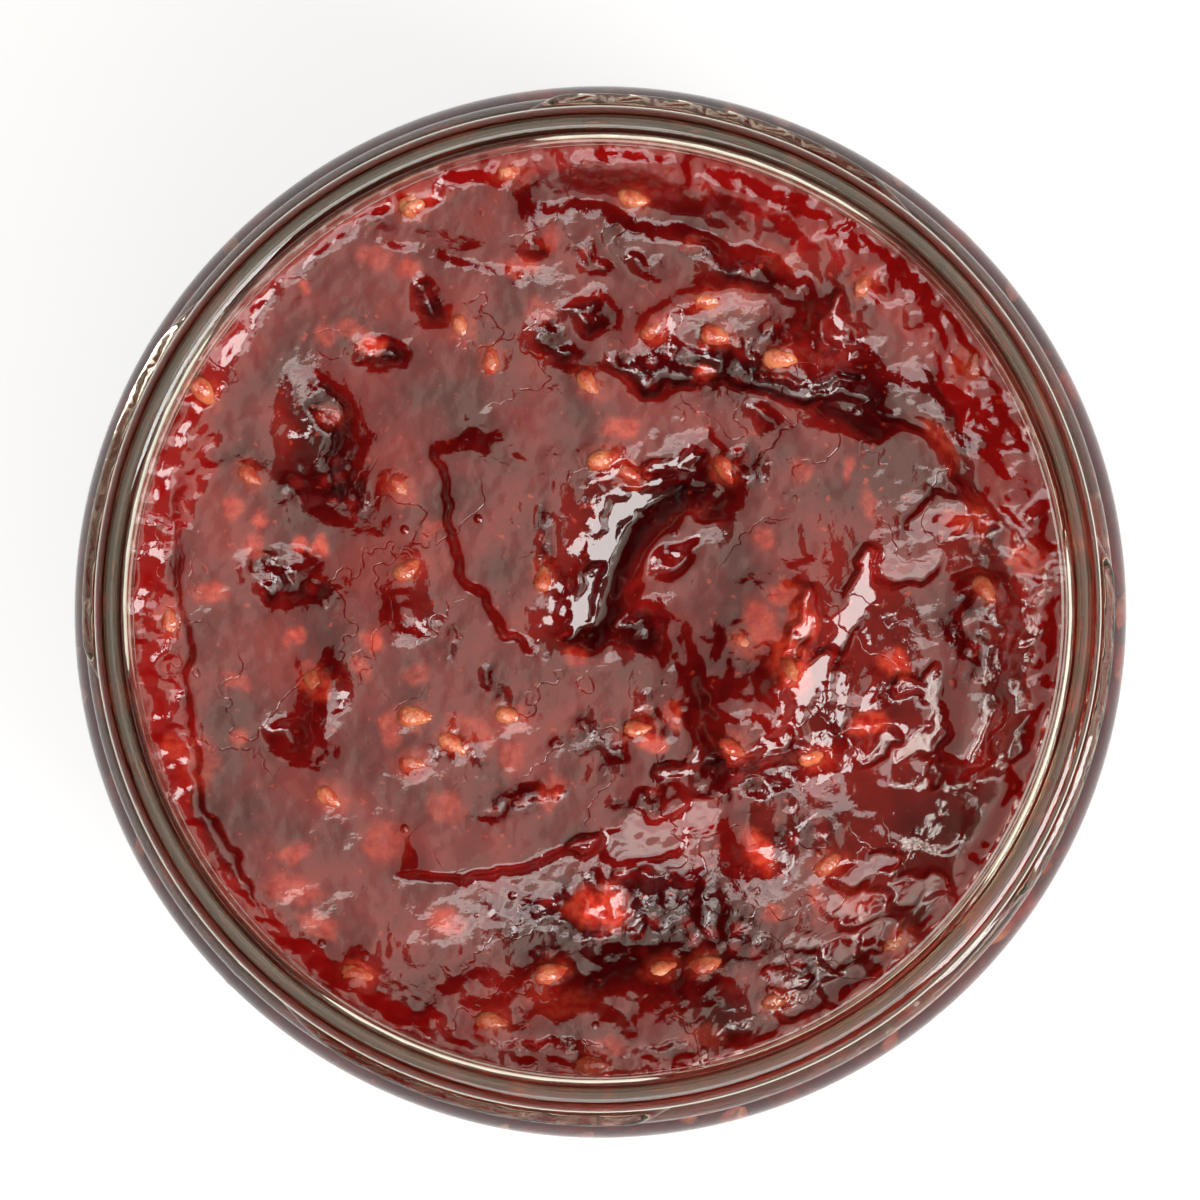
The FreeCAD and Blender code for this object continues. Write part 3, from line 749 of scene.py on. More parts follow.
def levelHeight(x, y):
    # the fill level, less slope * bend * log(1 + exp(distance past the line / bend)) on the right
    turn = math.radians(fruit["rightSlopeTurn"])
    bend = fruit["rightSlopeBend"]
    along = (x * math.cos(turn) + y * math.sin(turn) - fruit["rightSlopeFrom"]) / bend
    return fillLevel - fruit["rightSlope"] * bend * np.log1p(np.exp(np.clip(along, -30, 30)))


def formHeight(x, y):
    # level + folds + lumps
    height = levelHeight(x, y)
    for name, fold in folds.items():
        height += foldRelief(x, y, foldFades.get(name, usualFade), *fold)
    for cx, cy, tall, halfA, halfB, degrees in lumps.values():
        height += tall * ovalBell(x, y, cx, cy, halfA, halfB, degrees)
    return height


def withPlates(x, y, height):
    # inside its ragged ovals each plate is one plane, through the mean height of the ovals' middles
    wobbleX = x + wave(x, y, "plateX", 3)
    wobbleY = y + wave(x, y, "plateY", 3)
    flat = np.zeros_like(x)
    for steepness, degrees, ovals in tiltedPlates.values():
        turn = math.radians(degrees)
        middles = np.array(ovals)[:, :2]
        level = formHeight(middles[:, 0], middles[:, 1]).mean()
        cx, cy = middles.mean(axis=0)
        bell = np.zeros_like(x)
        for oval in ovals:
            bell = np.maximum(bell, ovalBell(wobbleX, wobbleY, *oval))
        share = faded(bell, "plateEdge")
        plane = level - steepness * ((x - cx) * math.cos(turn) + (y - cy) * math.sin(turn))
        height = height * (1 - share) + plane * share
        flat = np.maximum(flat, share)
    return height, flat


def fruitHeight(x, y):
    # forms + plates + climb at the glass + slow waves + pulp where it is rough + small waves
    # + a mound over each seed; also how pulpy, near the glass and calm each place is, and its painted shade
    #   in hollows
    radius = np.hypot(x, y)
    sx, sy = swirled(x, y)
    gap = np.maximum(mouthRadius - radius, 0)
    band = bandWidth(x, y)
    form = formHeight(sx, sy)
    # painted shade: how far the form lies below the level, which darkens the colour in hollows
    hollowShade = easeStep((levelHeight(sx, sy) - form) / fruit["hollowShadeFull"])
    height, flat = withPlates(sx, sy, form)
    height += fruit["wallRise"] * np.exp(-(gap / fruit["wallRiseWidth"]) ** 2)
    height += fruit["bandLean"] * band * np.exp(-(gap / (0.75 * band + 0.1)) ** 2)
    calm = np.maximum(calmShare(x, y), 0.85 * flat)
    height += (1 - flat) * wave(x, y, "slowWave", 2)
    pulp = np.zeros_like(x)
    for cx, cy, halfA, halfB, degrees, strength in pulpPatches:
        pulp = np.maximum(pulp, strength * ovalBell(sx, sy, cx, cy, halfA, halfB, degrees))
    # noise frays the outlines of the ovals
    pulp = faded(pulp + wave(x, y, "pulpOutline", 3), "pulpEdge")
    # near the glass: this makes the band rougher and brings painted light into its colour
    edge = easeStep((band - gap) / 1.0 + 0.3)
    pulp = pulp * (1 - calm)
    rough = np.maximum(pulp, 0.45 * edge) * (1 - 0.8 * calm)
    height += rough * (wave(x, y, "pulpWave", 2) + wave(x, y, "pulpRipple", 1))
    height += (1 - 0.8 * calm) * (wave(x, y, "gelWave", 2) + wave(x, y, "gelRipple", 2))
    for cx, cy, degrees, proud in seedPlaces:
        height += fruit["seedMound"] * ovalBell(x, y, cx, cy, *seedHalo, degrees)
    # soft floor: log(exp(5 height) + exp(5 lowest)) / 5
    height = fruit["lowest"] + np.logaddexp(0, (height - fruit["lowest"]) * 5) / 5
    return height, pulp, edge, calm, hollowShade


def sunkenShare(x, y):
    # how much of the colour of sunken pulp shows, from ragged ovals
    sx = x + wave(x, y, "sunkenX", 2)
    sy = y + wave(x, y, "sunkenY", 2)
    share = np.zeros_like(x)
    halos = [(cx, cy, *seedHalo, degrees, 0.45) for cx, cy, degrees, proud in seedPlaces]
    for cx, cy, halfA, halfB, degrees, strength in sunkenPulp + halos:
        bell = ovalBell(sx, sy, cx, cy, halfA, halfB, degrees)
        share = np.maximum(share, strength * easeStep(1.7 * bell - 0.25))
    return share


def buildFruit(material):
    # the surface on a grid, and a side and floor that follow the inside of the glass
    count = fruit["across"]
    u, v = np.meshgrid(np.linspace(-1, 1, count), np.linspace(-1, 1, count))
    # the square grid is pressed into a disc: x = u sqrt(1 - v^2 / 2), y = v sqrt(1 - u^2 / 2)
    reach = mouthRadius + fruit["intoWall"]
    x = reach * u * np.sqrt(1 - v * v / 2)
    y = reach * v * np.sqrt(1 - u * u / 2)
    z, pulp, edge, calm, hollowShade = fruitHeight(x, y)
    top = np.stack([x, y, z], axis=-1).reshape(-1, 3)
    index = np.arange(count * count).reshape(count, count)
    rim = np.concatenate([index[0, :-1], index[:-1, -1], index[-1, :0:-1], index[:0:-1, 0]])
    # the side has half as many points round as the rim, so three triangles join each pair
    anchor = rim[::2]
    between = rim[1::2]
    theta = np.arctan2(top[anchor, 1], top[anchor, 0])
    profile = innerProfile(outward=fruit["intoWall"])[:0:-1]
    profile = profile[profile[:, 1] < fruit["sideFrom"]]
    # rows crowd together where the outline bends: each step counts for its turn in radians and
    # 0.03 for each millimetre of its length
    step = np.diff(profile, axis=0)
    bend = np.abs(np.diff(np.unwrap(np.arctan2(step[:, 1], step[:, 0]))))
    weight = 0.03 * np.linalg.norm(step, axis=1) + np.concatenate([bend, [0]])
    share = np.concatenate([[0], np.cumsum(weight)])
    keep = np.searchsorted(share, np.linspace(0, share[-1], fruit["sideRows"]))
    profile = profile[np.unique(keep.clip(0, len(profile) - 1))]
    rows = len(profile)
    side = np.stack([profile[:, :1] * np.cos(theta), profile[:, :1] * np.sin(theta),
                     np.repeat(profile[:, 1:], len(theta), axis=1)], axis=-1).reshape(-1, 3)
    first = len(top)
    pole = first + len(side)
    points = np.concatenate([top, side, [[0, 0, innerProfile(fruit["intoWall"])[0, 1]]]])
    ring = np.arange(len(anchor))
    following = np.roll(ring, -1)
    nextAnchor = np.roll(anchor, -1)
    faceSets = [
        gridFaces(count, count),
        np.stack([anchor, first + ring, between], axis=-1),
        np.stack([between, first + ring, first + following], axis=-1),
        np.stack([between, first + following, nextAnchor], axis=-1),
        first + gridFaces(rows, len(anchor), wrap=True)[:, ::-1],
        fanFaces(first + (rows - 1) * len(anchor) + ring, pole, flip=True),
    ]
    piece = makePiece("mostardaBody", points, faceSets, material)
    # what the material reads: values over the surface, and one value for the side and the floor
    shares = {
        # the depth share carries painted shade into the colour
        "pulp": (pulp, 0.3), "edge": (edge, 0.0), "hollowShade": (hollowShade, 0.0), "calm": (calm, 1.0),
        "sunken": (0.85 * sunkenShare(x, y), 0.0), "atGlass": (np.zeros_like(x), 1.0)}
    for name, (onTop, elsewhere) in shares.items():
        rest = np.full(len(points) - len(top), elsewhere)
        addAttribute(piece, name, np.concatenate([onTop.ravel(), rest]))
    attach(piece, "root")
    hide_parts("mostarda")
    return piece


gel = {
    # colours
    "cloudDark": (0.070, 0.0010, 0.0014, 1),
    "cloudBright": (0.185, 0.0060, 0.0050, 1),
    "underPulp": (0.052, 0.0005, 0.0010, 1),
    # painted shade, mixed in where hollows lie below the level
    "hollow": (0.034, 0.0005, 0.0010, 1),
    "cell": (0.27, 0.010, 0.009, 1),
    # painted light: brighter red where light comes through the glass into the thin edge of the gel
    "paintedEdgeLight": (0.25, 0.0035, 0.0035, 1),
    "speck": (0.42, 0.04, 0.02, 1),
    "fleshDark": (0.36, 0.012, 0.008, 1),
    "fleshBright": (0.58, 0.062, 0.028, 1),
    # cells of each pattern to the metre
    "cloudScale": 150.0,
    "cellScale": 520.0,
    "speckScale": 1300.0,
    "mottleScale": 1500.0,
    "drupeletScale": 230.0,
    "fineScale": 1500.0,
    "rippleScale": 420.0,
    "hairScale": 170.0,
    "hairPatchScale": 110.0,
    "bubbleScale": 330.0,
    # the gel's shine and depth
    "scatter": 0.0022,           # metres that red light goes in it
    "scatterShares": (1.0, 0.16, 0.12),  # and how far red, green and blue go, of that
    "scatterWeight": 0.85,
    "roughness": 0.045,
    "relief": 0.00012,           # metres of bump, for a height of 1
    "rippleHeight": 0.45,
    "hairDepth": 0.22,
    "bubbleHeight": 1.1,
}


def gelColour(tree, place, pulp):
    # clouds of darker and redder gel, darker on pulp, with painted shade in hollows, paler in the
    # pulp's cells, with painted light as a brighter red along the thin edge at the glass, specks, and
    # flesh where pulp lies under the gel or is pressed against the glass
    clouds = ramp(tree, noiseValue(tree, place, gel["cloudScale"], 4.0), 0.35, 0.65)
    colour = blendColour(tree, clouds, gel["cloudDark"], gel["cloudBright"])
    cells = addNode(tree, "ShaderNodeTexVoronoi", Vector=place, Scale=gel["cellScale"])
    cells = ramp(tree, cells.outputs["Distance"], 0.45, 0.1)
    cells = arithmetic(tree, "MULTIPLY", cells, arithmetic(tree, "MULTIPLY", pulp, 0.6))
    specks = ramp(tree, noiseValue(tree, place, gel["speckScale"], 1.0), 0.70, 0.78, 0.0, 0.5)
    layers = [
        (arithmetic(tree, "MULTIPLY", pulp, 0.8), gel["underPulp"]),
        # painted shade: darker colour the further the surface lies below the level
        (arithmetic(tree, "MULTIPLY", attributeValue(tree, "hollowShade"), 0.85), gel["hollow"]),
        (cells, gel["cell"]),
        # painted light: brighter red along the glass, as if lit through it
        (arithmetic(tree, "MULTIPLY", attributeValue(tree, "edge"), 0.75), gel["paintedEdgeLight"]),
        (specks, gel["speck"]),
    ]
    for share, layer in layers:
        colour = blendColour(tree, share, colour, layer)
    mottle = ramp(tree, noiseValue(tree, place, gel["mottleScale"], 3.0), 0.35, 0.65)
    flesh = blendColour(tree, mottle, gel["fleshDark"], gel["fleshBright"])
    drupelets = noiseValue(tree, place, gel["drupeletScale"], 4.0, distortion=0.6)
    pressed = arithmetic(tree, "MULTIPLY", attributeValue(tree, "atGlass"),
                         ramp(tree, drupelets, 0.54, 0.68, 0.0, 0.75))
    share = arithmetic(tree, "MAXIMUM", attributeValue(tree, "sunken"), pressed)
    return blendColour(tree, share, colour, flesh)


def gelRelief(tree, place, pulp):
    # fine grain, stronger on pulp, and ripples of two millimetres and less, both weaker where the
    # gel is calm, less hairlines along the middle value of a slow noise, plus tiny bubbles in some
    # cells of a Voronoi pattern
    fine = noiseValue(tree, place, gel["fineScale"], 3.0)
    height = arithmetic(tree, "MULTIPLY", fine, ramp(tree, pulp, 0.0, 1.0, 0.35, 0.9))
    ripple = arithmetic(tree, "MULTIPLY", noiseValue(tree, place, gel["rippleScale"], 4.0),
                        gel["rippleHeight"])
    height = arithmetic(tree, "ADD", height, ripple)
    calm = ramp(tree, attributeValue(tree, "calm"), 0.0, 0.85, 1.0, 0.35)
    height = arithmetic(tree, "MULTIPLY", height, calm)
    slow = arithmetic(tree, "SUBTRACT", noiseValue(tree, place, gel["hairScale"], 3.0), 0.5)
    line = ramp(tree, arithmetic(tree, "ABSOLUTE", slow, 0.0), 0.010, 0.0)
    patch = ramp(tree, noiseValue(tree, place, gel["hairPatchScale"], 1.0), 0.52, 0.60, 0.0,
                 gel["hairDepth"])
    height = arithmetic(tree, "SUBTRACT", height, arithmetic(tree, "MULTIPLY", line, patch))
    cell = addNode(tree, "ShaderNodeTexVoronoi", Vector=place, Scale=gel["bubbleScale"]).outputs
    chosen = addNode(tree, "ShaderNodeSeparateColor", Color=cell["Color"]).outputs["Red"]
    bubble = arithmetic(tree, "MULTIPLY", ramp(tree, cell["Distance"], 0.13, 0.04),
                        ramp(tree, chosen, 0.66, 0.70))
    bubble = arithmetic(tree, "MULTIPLY", bubble, gel["bubbleHeight"])
    return arithmetic(tree, "ADD", height, bubble)


def fruitMaterial():
    # deep raspberry gel, wet and translucent
    material, tree, output = newMaterial("raspberryMostarda")
    shader = addNode(tree, "ShaderNodeBsdfPrincipled", Roughness=gel["roughness"], IOR=1.46)
    place = objectPlace(tree)
    pulp = attributeValue(tree, "pulp")
    bump = addNode(tree, "ShaderNodeBump", Height=gelRelief(tree, place, pulp), Strength=1.0,
                   Distance=gel["relief"])
    setInputs(tree, shader, {
        "Base Color": gelColour(tree, place, pulp),
        "Subsurface Weight": gel["scatterWeight"],
        "Subsurface Radius": gel["scatterShares"],
        "Subsurface Scale": gel["scatter"],
        "Normal": bump.outputs[0]})
    tree.links.new(shader.outputs[0], output.inputs["Surface"])
    return material


seeds = {
    "length": 2.6,
    "width": 1.5,
    "thickness": 0.95,
    "taper": 0.28,               # how much slimmer one end is
    "sizeFrom": 0.88,            # shares of the full size
    "sizeTo": 1.12,
    "dents": 0.05,               # share by which points stray
    "leastProud": 0.10,          # how far a seed stands out of the surface at least, and what its
    "mostProud": 0.4,            # own value in the list adds, times this
    "aroundGlass": 380,
    "wallFrom": 9.0,             # seeds lie on the wall from here
    "wallBelowFill": 8.0,        # to so far below the fill level
    "onFloor": 80,
    "floorReach": 33.0,
    "pastSide": 0.2,             # how far they stand out of the fruit at the wall and the floor
    "pastFloor": 0.1,
    "surfaceGrid": (13, 12),     # points along and round a seed
    "glassGrid": (7, 8),
    "random": 17,
    "roughness": 0.12,
    "scatter": 0.001,            # metres
    "stainScale": 700.0,         # cells to the metre
    "pitScale": 3600.0,
    "pitDepth": 0.00008,         # metres of bump
    "redCoat": (0.34, 0.055, 0.028, 1),
    "tanCoat": (0.58, 0.19, 0.088, 1),
    "stain": (0.34, 0.028, 0.014, 1),
    # painted shade for the pits
    "pit": (0.30, 0.045, 0.02, 1),
}


def seedShape(along, around):
    # drop-shaped seed: half width (1 - u^2)^0.5 (1 - taper u) of its length u, in unit half sizes,
    # with the two end points last
    u = np.cos(np.linspace(0, math.pi, along))[1:-1, None]
    turn = np.linspace(0, 2 * math.pi, around, endpoint=False)[None, :]
    girth = np.sqrt(np.maximum(1 - u * u, 0)) * (1 - seeds["taper"] * u)
    points = np.stack([u * np.ones_like(turn), girth * np.cos(turn), girth * np.sin(turn)], axis=-1)
    return np.concatenate([points.reshape(-1, 3), [[1, 0, 0], [-1, 0, 0]]])


def copiedFaces(faces, copies, pointsEach):
    # the faces of one shape, repeated for copies whose points follow each other
    offsets = (np.arange(copies) * pointsEach)[:, None, None]
    return (faces[None] + offsets).reshape(-1, faces.shape[1])


def placeSeeds(name, centres, axesA, axesB, axesC, grid, material, rng):
    # every seed is the same grid of points, set out along its own three axes
    along, around = grid
    unit = seedShape(along, around)
    count = len(centres)
    size = rng.uniform(seeds["sizeFrom"], seeds["sizeTo"], (count, 1, 1))
    half = np.array([seeds["length"], seeds["width"], seeds["thickness"]]) / 2
    axes = np.stack([axesA, axesB, axesC], axis=1)
    dents = 1 + seeds["dents"] * rng.standard_normal((count, len(unit), 1))
    local = unit[None] * half * size * dents
    points = np.einsum("npk,nkd->npd", local, axes) + centres[:, None, :]
    rows = along - 2
    ring = np.arange(around)
    oneSeed = [
        gridFaces(rows, around, wrap=True)[:, ::-1],
        fanFaces(ring, rows * around),
        fanFaces((rows - 1) * around + ring, rows * around + 1, flip=True),
    ]
    faceSets = [copiedFaces(faces, count, len(unit)) for faces in oneSeed]
    piece = makePiece(name, points.reshape(-1, 3), faceSets, material)
    addAttribute(piece, "shade", np.repeat(rng.random(count), len(unit)))
    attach(piece, "root")
    return piece


def surfaceSeeds(material):
    # seeds that lie along the slope of the surface, whose normal is (-dz/dx, -dz/dy, 1)
    rng = np.random.default_rng(seeds["random"])
    x, y, turn, proud = np.array(seedPlaces).T
    z = fruitHeight(x, y)[0]
    step = 0.4                   # over which the slope is taken
    slopeX = (fruitHeight(x + step, y)[0] - fruitHeight(x - step, y)[0]) / (2 * step)
    slopeY = (fruitHeight(x, y + step)[0] - fruitHeight(x, y - step)[0]) / (2 * step)
    normal = np.stack([-slopeX, -slopeY, np.ones_like(x)], axis=1)
    normal /= np.linalg.norm(normal, axis=1, keepdims=True)
    heading = np.stack([np.cos(np.radians(turn)), np.sin(np.radians(turn)), 0 * x], axis=1)
    axisA = heading - (heading * normal).sum(1, keepdims=True) * normal
    axisA /= np.linalg.norm(axisA, axis=1, keepdims=True)
    axisB = np.cross(normal, axisA)
    depth = (seeds["leastProud"] + seeds["mostProud"] * proud - seeds["thickness"] / 2)[:, None]
    centres = np.stack([x, y, z], axis=1) + normal * depth
    return placeSeeds("seedsOnTop", centres, axisA, axisB, normal, seeds["surfaceGrid"], material, rng)


def seedsAtGlass(material):
    # seeds that lie flat against the inside of the wall and floor, where the fruit touches the glass
    rng = np.random.default_rng(seeds["random"] + 1)
    half = seeds["thickness"] / 2
    count = seeds["aroundGlass"]
    theta = rng.uniform(0, 2 * math.pi, count)
    profile = innerProfile(fruit["intoWall"])
    highest = fillLevel - seeds["wallBelowFill"]
    onWall = profile[(profile[:, 1] > seeds["wallFrom"]) & (profile[:, 1] < highest)]
    z = rng.uniform(onWall[:, 1].min(), onWall[:, 1].max(), count)
    radius = np.interp(z, onWall[:, 1], onWall[:, 0]) + seeds["pastSide"] - half
    outward = np.stack([np.cos(theta), np.sin(theta), 0 * theta], axis=1)
    sideways = np.stack([-np.sin(theta), np.cos(theta), 0 * theta], axis=1)
    upward = np.tile([0.0, 0.0, 1.0], (count, 1))
    spin = rng.uniform(0, math.pi, count)[:, None]
    axisA = sideways * np.cos(spin) + upward * np.sin(spin)
    axisB = np.cross(outward, axisA)
    centres = outward * radius[:, None] + upward * z[:, None]

    low = seeds["onFloor"]
    reach = seeds["floorReach"] * np.sqrt(rng.random(low))
    angle = rng.uniform(0, 2 * math.pi, low)
    dome = profile[:20]          # the floor and the start of the heel
    floorZ = np.interp(reach, dome[:, 0], dome[:, 1]) - seeds["pastFloor"] + half
    spin = rng.uniform(0, math.pi, low)
    floorA = np.stack([np.cos(spin), np.sin(spin), 0 * spin], axis=1)
    floorC = np.tile([0.0, 0.0, -1.0], (low, 1))
    floorB = np.cross(floorC, floorA)
    floorCentres = np.stack([reach * np.cos(angle), reach * np.sin(angle), floorZ], axis=1)
    return placeSeeds("seedsAtGlass", np.concatenate([centres, floorCentres]),
                      np.concatenate([axisA, floorA]), np.concatenate([axisB, floorB]),
                      np.concatenate([outward, floorC]), seeds["glassGrid"], material, rng)


def seedMaterial():
    # tan-orange seed coat with fine pits and painted shade in them, stained red by the gel around it
    material, tree, output = newMaterial("seedCoat")
    shader = addNode(tree, "ShaderNodeBsdfPrincipled", Roughness=seeds["roughness"])
    place = objectPlace(tree)
    colour = blendColour(tree, attributeValue(tree, "shade"), seeds["redCoat"], seeds["tanCoat"])
    stain = ramp(tree, noiseValue(tree, place, seeds["stainScale"], 3.0), 0.40, 0.62, 0.0, 0.9)
    colour = blendColour(tree, stain, colour, seeds["stain"])
    pits = addNode(tree, "ShaderNodeTexVoronoi", Vector=place, Scale=seeds["pitScale"])
    pits = pits.outputs["Distance"]
    # painted shade: a little darker at the bottom of each pit
    colour = blendColour(tree, ramp(tree, pits, 0.2, 0.5, 0.25, 0.0), colour, seeds["pit"])
    bump = addNode(tree, "ShaderNodeBump", Height=pits, Strength=0.5,
                   Distance=seeds["pitDepth"])
    setInputs(tree, shader, {
        "Base Color": colour,
        "Subsurface Weight": 0.4,
        "Subsurface Radius": (1.0, 0.35, 0.2),
        "Subsurface Scale": seeds["scatter"],
        "Normal": bump.outputs[0]})
    tree.links.new(shader.outputs[0], output.inputs["Surface"])
    return material


droplets = {
    "count": 620,
    "band": 5.2,                 # how far up the wall they reach from the fruit
    "crowding": 2.6,             # more of this, and more of them lie near the fruit
    "aboveFruit": 0.15,
    "clearOfLip": 1.4,
    "least": 0.05,               # half widths
    "most": 0.22,
    "shrink": 3.0,               # rise over which they grow smaller
    "stretch": (0.8, 1.5),       # upright size, as a share of the width
    "rings": (0.45, 0.8, 1.0),
    "flatness": 0.45,            # how far a drop stands in, as a share of its half width
    "around": 7,                 # points round a drop
    "random": 29,
    "palest": (0.95, 0.93, 0.9, 1),
    "reddest": (0.85, 0.5, 0.45, 1),
}


def buildDroplets(material):
    # flattened beads of syrup on the inside of the neck, thickest just above the fruit: each is a
    # cap (1 - s^2)^0.5 over rings at the shares s of its half width, closed by a flat back
    rng = np.random.default_rng(droplets["random"])
    count = droplets["count"]
    around = droplets["around"]
    theta = rng.uniform(0, 2 * math.pi, count)
    nearWall = mouthRadius - 0.05
    contact = fruitHeight(nearWall * np.cos(theta), nearWall * np.sin(theta))[0]
    rise = droplets["band"] * rng.random(count) ** droplets["crowding"]
    z = np.minimum(contact + droplets["aboveFruit"] + rise, jarTop - droplets["clearOfLip"])
    spread = (droplets["most"] - droplets["least"]) * rng.random(count) ** 2
    width = droplets["least"] + spread * np.exp(-rise / droplets["shrink"])
    rings = np.array(droplets["rings"])
    turn = np.linspace(0, 2 * math.pi, around, endpoint=False)
    across = np.concatenate([[0.0], (rings[:, None] * np.cos(turn)).ravel()])
    upward = np.concatenate([[0.0], (rings[:, None] * np.sin(turn)).ravel()])
    inward = np.concatenate([[1.0], np.repeat(np.sqrt(1 - rings ** 2), around)])
    stretch = rng.uniform(*droplets["stretch"], count)
    radius = mouthRadius + 0.02 - droplets["flatness"] * width[:, None] * inward[None]
    angle = theta[:, None] + across[None] * width[:, None] / mouthRadius
    height = z[:, None] + upward[None] * (width * stretch)[:, None]
    points = np.stack([radius * np.cos(angle), radius * np.sin(angle), height], axis=-1)
    ring = np.arange(around)
    oneDrop = [
        fanFaces(1 + ring, 0),
        1 + gridFaces(len(rings), around, wrap=True)[:, ::-1],
        1 + (len(rings) - 1) * around + ring[None],
    ]
    faceSets = [copiedFaces(faces, count, points.shape[1]) for faces in oneDrop]
    piece = makePiece("syrupDroplets", points.reshape(-1, 3), faceSets, material)
    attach(piece, "root")
    return piece


def dropletMaterial():
    # thin clear syrup, here and there a little redder
    material, tree, output = newMaterial("clearSyrup")
    tint = ramp(tree, noiseValue(tree, objectPlace(tree), 500.0), 0.4, 0.7)
    shader = addNode(tree, "ShaderNodeBsdfPrincipled", Roughness=0.03, IOR=1.38)
    setInputs(tree, shader, {
        "Base Color": blendColour(tree, tint, droplets["palest"], droplets["reddest"]),
        "Transmission Weight": 1.0})
    tree.links.new(shader.outputs[0], output.inputs["Surface"])
    return material


studio = {
    "topReach": (-520.0, 330.0),         # overhead box, millimetres along its own axis
    "topTurn": -10.0,                    # degrees, as every turn and elevation
    "topWidth": 960.0,
    "topHeight": 900.0,
    "topSteps": (0.0, 0.36, 0.60),       # the box grows brighter towards one end, in steps
    "topRadiance": (1.52, 0.40, 0.64),
    "topLift": (0.0, 10.0, 20.0),        # apart, so that a ray meets every one of them
    "stripReach": (300.0, 780.0),        # second box beside it
    "stripTurn": -72.0,
    "stripWidth": 760.0,
    "stripRadiance": 5.6,
    "stripLift": -10.0,
    "sideSize": 370.0,                   # standing box whose reflection is the brightest
    "sideDistance": 800.0,
    "sideTurn": -32.0,
    "sideElevation": 36.0,
    "sideRadiance": 15.5,
    "glowTurn": 0.0,                     # dim part of the room that fills the slope on the right
    "glowElevation": 60.0,
    "glowEdges": (40.0, 12.0),
    "glowRadiance": 0.45,
    "topTint": (1.0, 0.975, 0.84),
    "sideTint": (1.0, 0.985, 0.96),
    "roomTint": (1.0, 0.86, 0.66, 1),    # what the glass picks up from the room round it
    "horizon": 0.95,
    "zenith": 0.02,
    "horizonBand": (0.03, 0.25),         # heights of a view's direction, of 1, between the two
    "floorColour": (0.85, 0.85, 0.85, 1),
    "floorSeen": (0.24, 0.24, 0.24, 1),  # its shaded part where it is seen, over its own glow
    "floorGlow": 0.80,
    "floorFade": (0.12, 0.6),            # metres from the jar, from shaded floor to plain white
    "floorHalf": 3000.0,
    "cameraAt": (6.0, -6.6, 477.0),      # millimetres, height counted from the lip
    "cameraTo": (0.22, 0.65, 0.0),
    "lens": 182.6,
}
white = (1, 1, 1, 1)


def towardsSky(turn, elevation):
    # direction of length 1, turned about the upright axis and raised
    angle = math.radians(turn)
    rise = math.radians(elevation)
    return Vector((math.cos(rise) * math.cos(angle), math.cos(rise) * math.sin(angle), math.sin(rise)))


def softbox(name, size, radiance, tint, at, target, turn=0.0):
    # a flat lamp whose face has the given radiance, with its sides turned about its own axis:
    # its power is radiance * pi * area
    data = bpy.data.lights.new(name, "AREA")
    data.shape = "RECTANGLE"
    data.size = size[0]
    data.size_y = size[1]
    data.color = tint
    data.energy = radiance * math.pi * size[0] * size[1]
    lamp = bpy.data.objects.new(name, data)
    lamp.location = at
    lamp.rotation_mode = "QUATERNION"
    aim = (Vector(target) - Vector(at)).to_track_quat("-Z", "Y")
    lamp.rotation_quaternion = aim @ Quaternion((0, 0, 1), turn)
    lamp.visible_camera = False
    bpy.context.scene.collection.objects.link(lamp)
    return lamp


def overheadBox(name, reach, width, turn, radiance, tint, lift):
    # lies level above the jar, from reach[0] to reach[1] along the direction of turn
    angle = math.radians(turn)
    middle = (reach[0] + reach[1]) / 2 * mm
    height = (jarTop + studio["topHeight"] + lift) * mm
    at = (middle * math.cos(angle), middle * math.sin(angle), height)
    below = (at[0], at[1], 0.0)
    size = ((reach[1] - reach[0]) * mm, width * mm)
    return softbox(name, size, radiance, tint, at, below, turn=angle)


def standingBox(name, size, distance, turn, elevation, radiance, tint):
    # a square box that faces the middle of the lip
    middle = Vector((0, 0, jarTop * mm))
    at = middle + distance * mm * towardsSky(turn, elevation)
    return softbox(name, (size * mm, size * mm), radiance, tint, at, middle)


def buildLamps():
    # three overhead boxes that share one end, a strip beside them and a standing box
    near, far = studio["topReach"]
    for step, radiance, lift in zip(studio["topSteps"], studio["topRadiance"], studio["topLift"]):
        reach = (near + step * (far - near), far)
        overheadBox("topBox", reach, studio["topWidth"], studio["topTurn"], radiance,
                    studio["topTint"], lift)
    overheadBox("topStrip", studio["stripReach"], studio["stripWidth"], studio["stripTurn"],
                studio["stripRadiance"], studio["sideTint"], studio["stripLift"])
    standingBox("sideBox", studio["sideSize"], studio["sideDistance"], studio["sideTurn"],
                studio["sideElevation"], studio["sideRadiance"], studio["sideTint"])


def buildWorld():
    # white behind everything, and for the light a warm room, bright at the horizon and dark above,
    # with one dim glow
    world = bpy.data.worlds.new("studioWorld")
    world.use_nodes = True
    bpy.context.scene.world = world
    tree = world.node_tree
    tree.nodes.clear()
    output = addNode(tree, "ShaderNodeOutputWorld")
    direction = addNode(tree, "ShaderNodeTexCoord").outputs["Generated"]
    height = addNode(tree, "ShaderNodeSeparateXYZ", Vector=direction).outputs["Z"]
    room = ramp(tree, height, *studio["horizonBand"], studio["horizon"], studio["zenith"])
    nearness = dotWith(tree, direction, towardsSky(studio["glowTurn"], studio["glowElevation"]))
    outer, inner = (math.cos(math.radians(edge)) for edge in studio["glowEdges"])
    glow = ramp(tree, nearness, outer, inner, 0.0, studio["glowRadiance"])
    seen = addNode(tree, "ShaderNodeLightPath").outputs["Is Camera Ray"]
    strength = addNode(tree, "ShaderNodeMix", at_data_type="FLOAT", i0=seen,
                       i2=arithmetic(tree, "ADD", room, glow), i3=1.0).outputs[0]
    back = addNode(tree, "ShaderNodeBackground", Strength=strength,
                   Color=blendColour(tree, seen, studio["roomTint"], white))
    tree.links.new(back.outputs[0], output.inputs["Surface"])


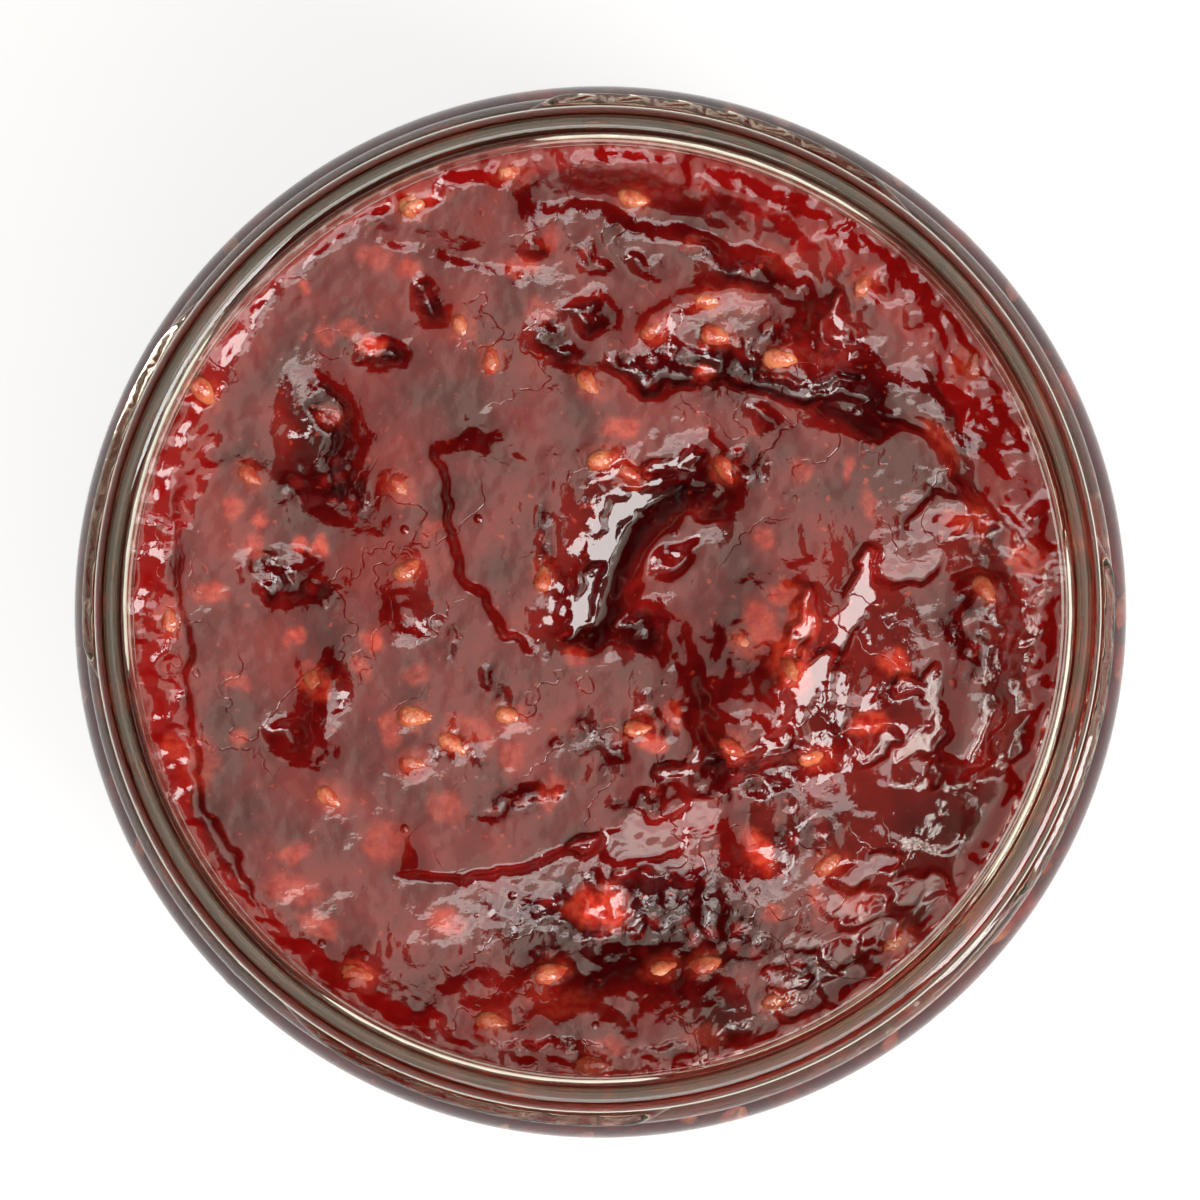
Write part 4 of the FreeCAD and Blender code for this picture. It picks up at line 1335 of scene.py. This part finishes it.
def floorMaterial():
    # pale floor that keeps the shadow near the jar and fades to plain white further out; where it
    # is seen, also in or through glass, part of its brightness is its own glow
    material, tree, output = newMaterial("paleFloor")
    far = ramp(tree, lengthOf(tree, objectPlace(tree)), *studio["floorFade"])
    path = addNode(tree, "ShaderNodeLightPath").outputs
    seen = arithmetic(tree, "MAXIMUM", path["Is Camera Ray"], path["Is Transmission Ray"])
    seen = arithmetic(tree, "MAXIMUM", seen, path["Is Glossy Ray"])
    colour = blendColour(tree, seen, studio["floorColour"], studio["floorSeen"])
    matte = addNode(tree, "ShaderNodeBsdfDiffuse", Color=colour)
    glowing = addNode(tree, "ShaderNodeEmission",
                      Strength=arithmetic(tree, "MULTIPLY", seen, studio["floorGlow"]))
    near = addNode(tree, "ShaderNodeAddShader", i0=matte.outputs[0], i1=glowing.outputs[0])
    plain = addNode(tree, "ShaderNodeEmission", Strength=1.0)
    both = addNode(tree, "ShaderNodeMixShader", i0=far, i1=near.outputs[0], i2=plain.outputs[0])
    tree.links.new(both.outputs[0], output.inputs["Surface"])
    return material


def buildFloor(material):
    # one flat square under the jar
    half = studio["floorHalf"]
    corners = np.array([[-half, -half, 0], [half, -half, 0], [half, half, 0], [-half, half, 0]])
    floor = makePiece("floor", corners, [np.array([[0, 1, 2, 3]])], material, smooth=False)


def buildCamera():
    # looks straight down but for a degree, with the view's upper edge towards +Y
    camera = bpy.data.objects.new("camera", bpy.data.cameras.new("camera"))
    camera.data.lens = studio["lens"]
    camera.data.sensor_width = 36.0
    camera.data.clip_start = 0.01
    lip = Vector((0, 0, jarTop * mm))
    at = Vector(studio["cameraAt"]) * mm + lip
    to = Vector(studio["cameraTo"]) * mm + lip
    camera.location = at
    camera.rotation_mode = "QUATERNION"
    back = (at - to).normalized()
    right = Vector((0, 1, 0)).cross(back).normalized()
    camera.rotation_quaternion = Matrix((right, back.cross(right), back)).transposed().to_quaternion()
    bpy.context.scene.collection.objects.link(camera)
    bpy.context.scene.camera = camera
    bpy.context.scene.view_settings.view_transform = "Standard"


buildGlass(glassMaterial())
print("glass made")
buildFruit(fruitMaterial())
print("fruit made")
coat = seedMaterial()
surfaceSeeds(coat)
seedsAtGlass(coat)
print("seeds made")
buildDroplets(dropletMaterial())
print("droplets made")
buildLamps()
buildWorld()
buildFloor(floorMaterial())
buildCamera()
print("studio made")
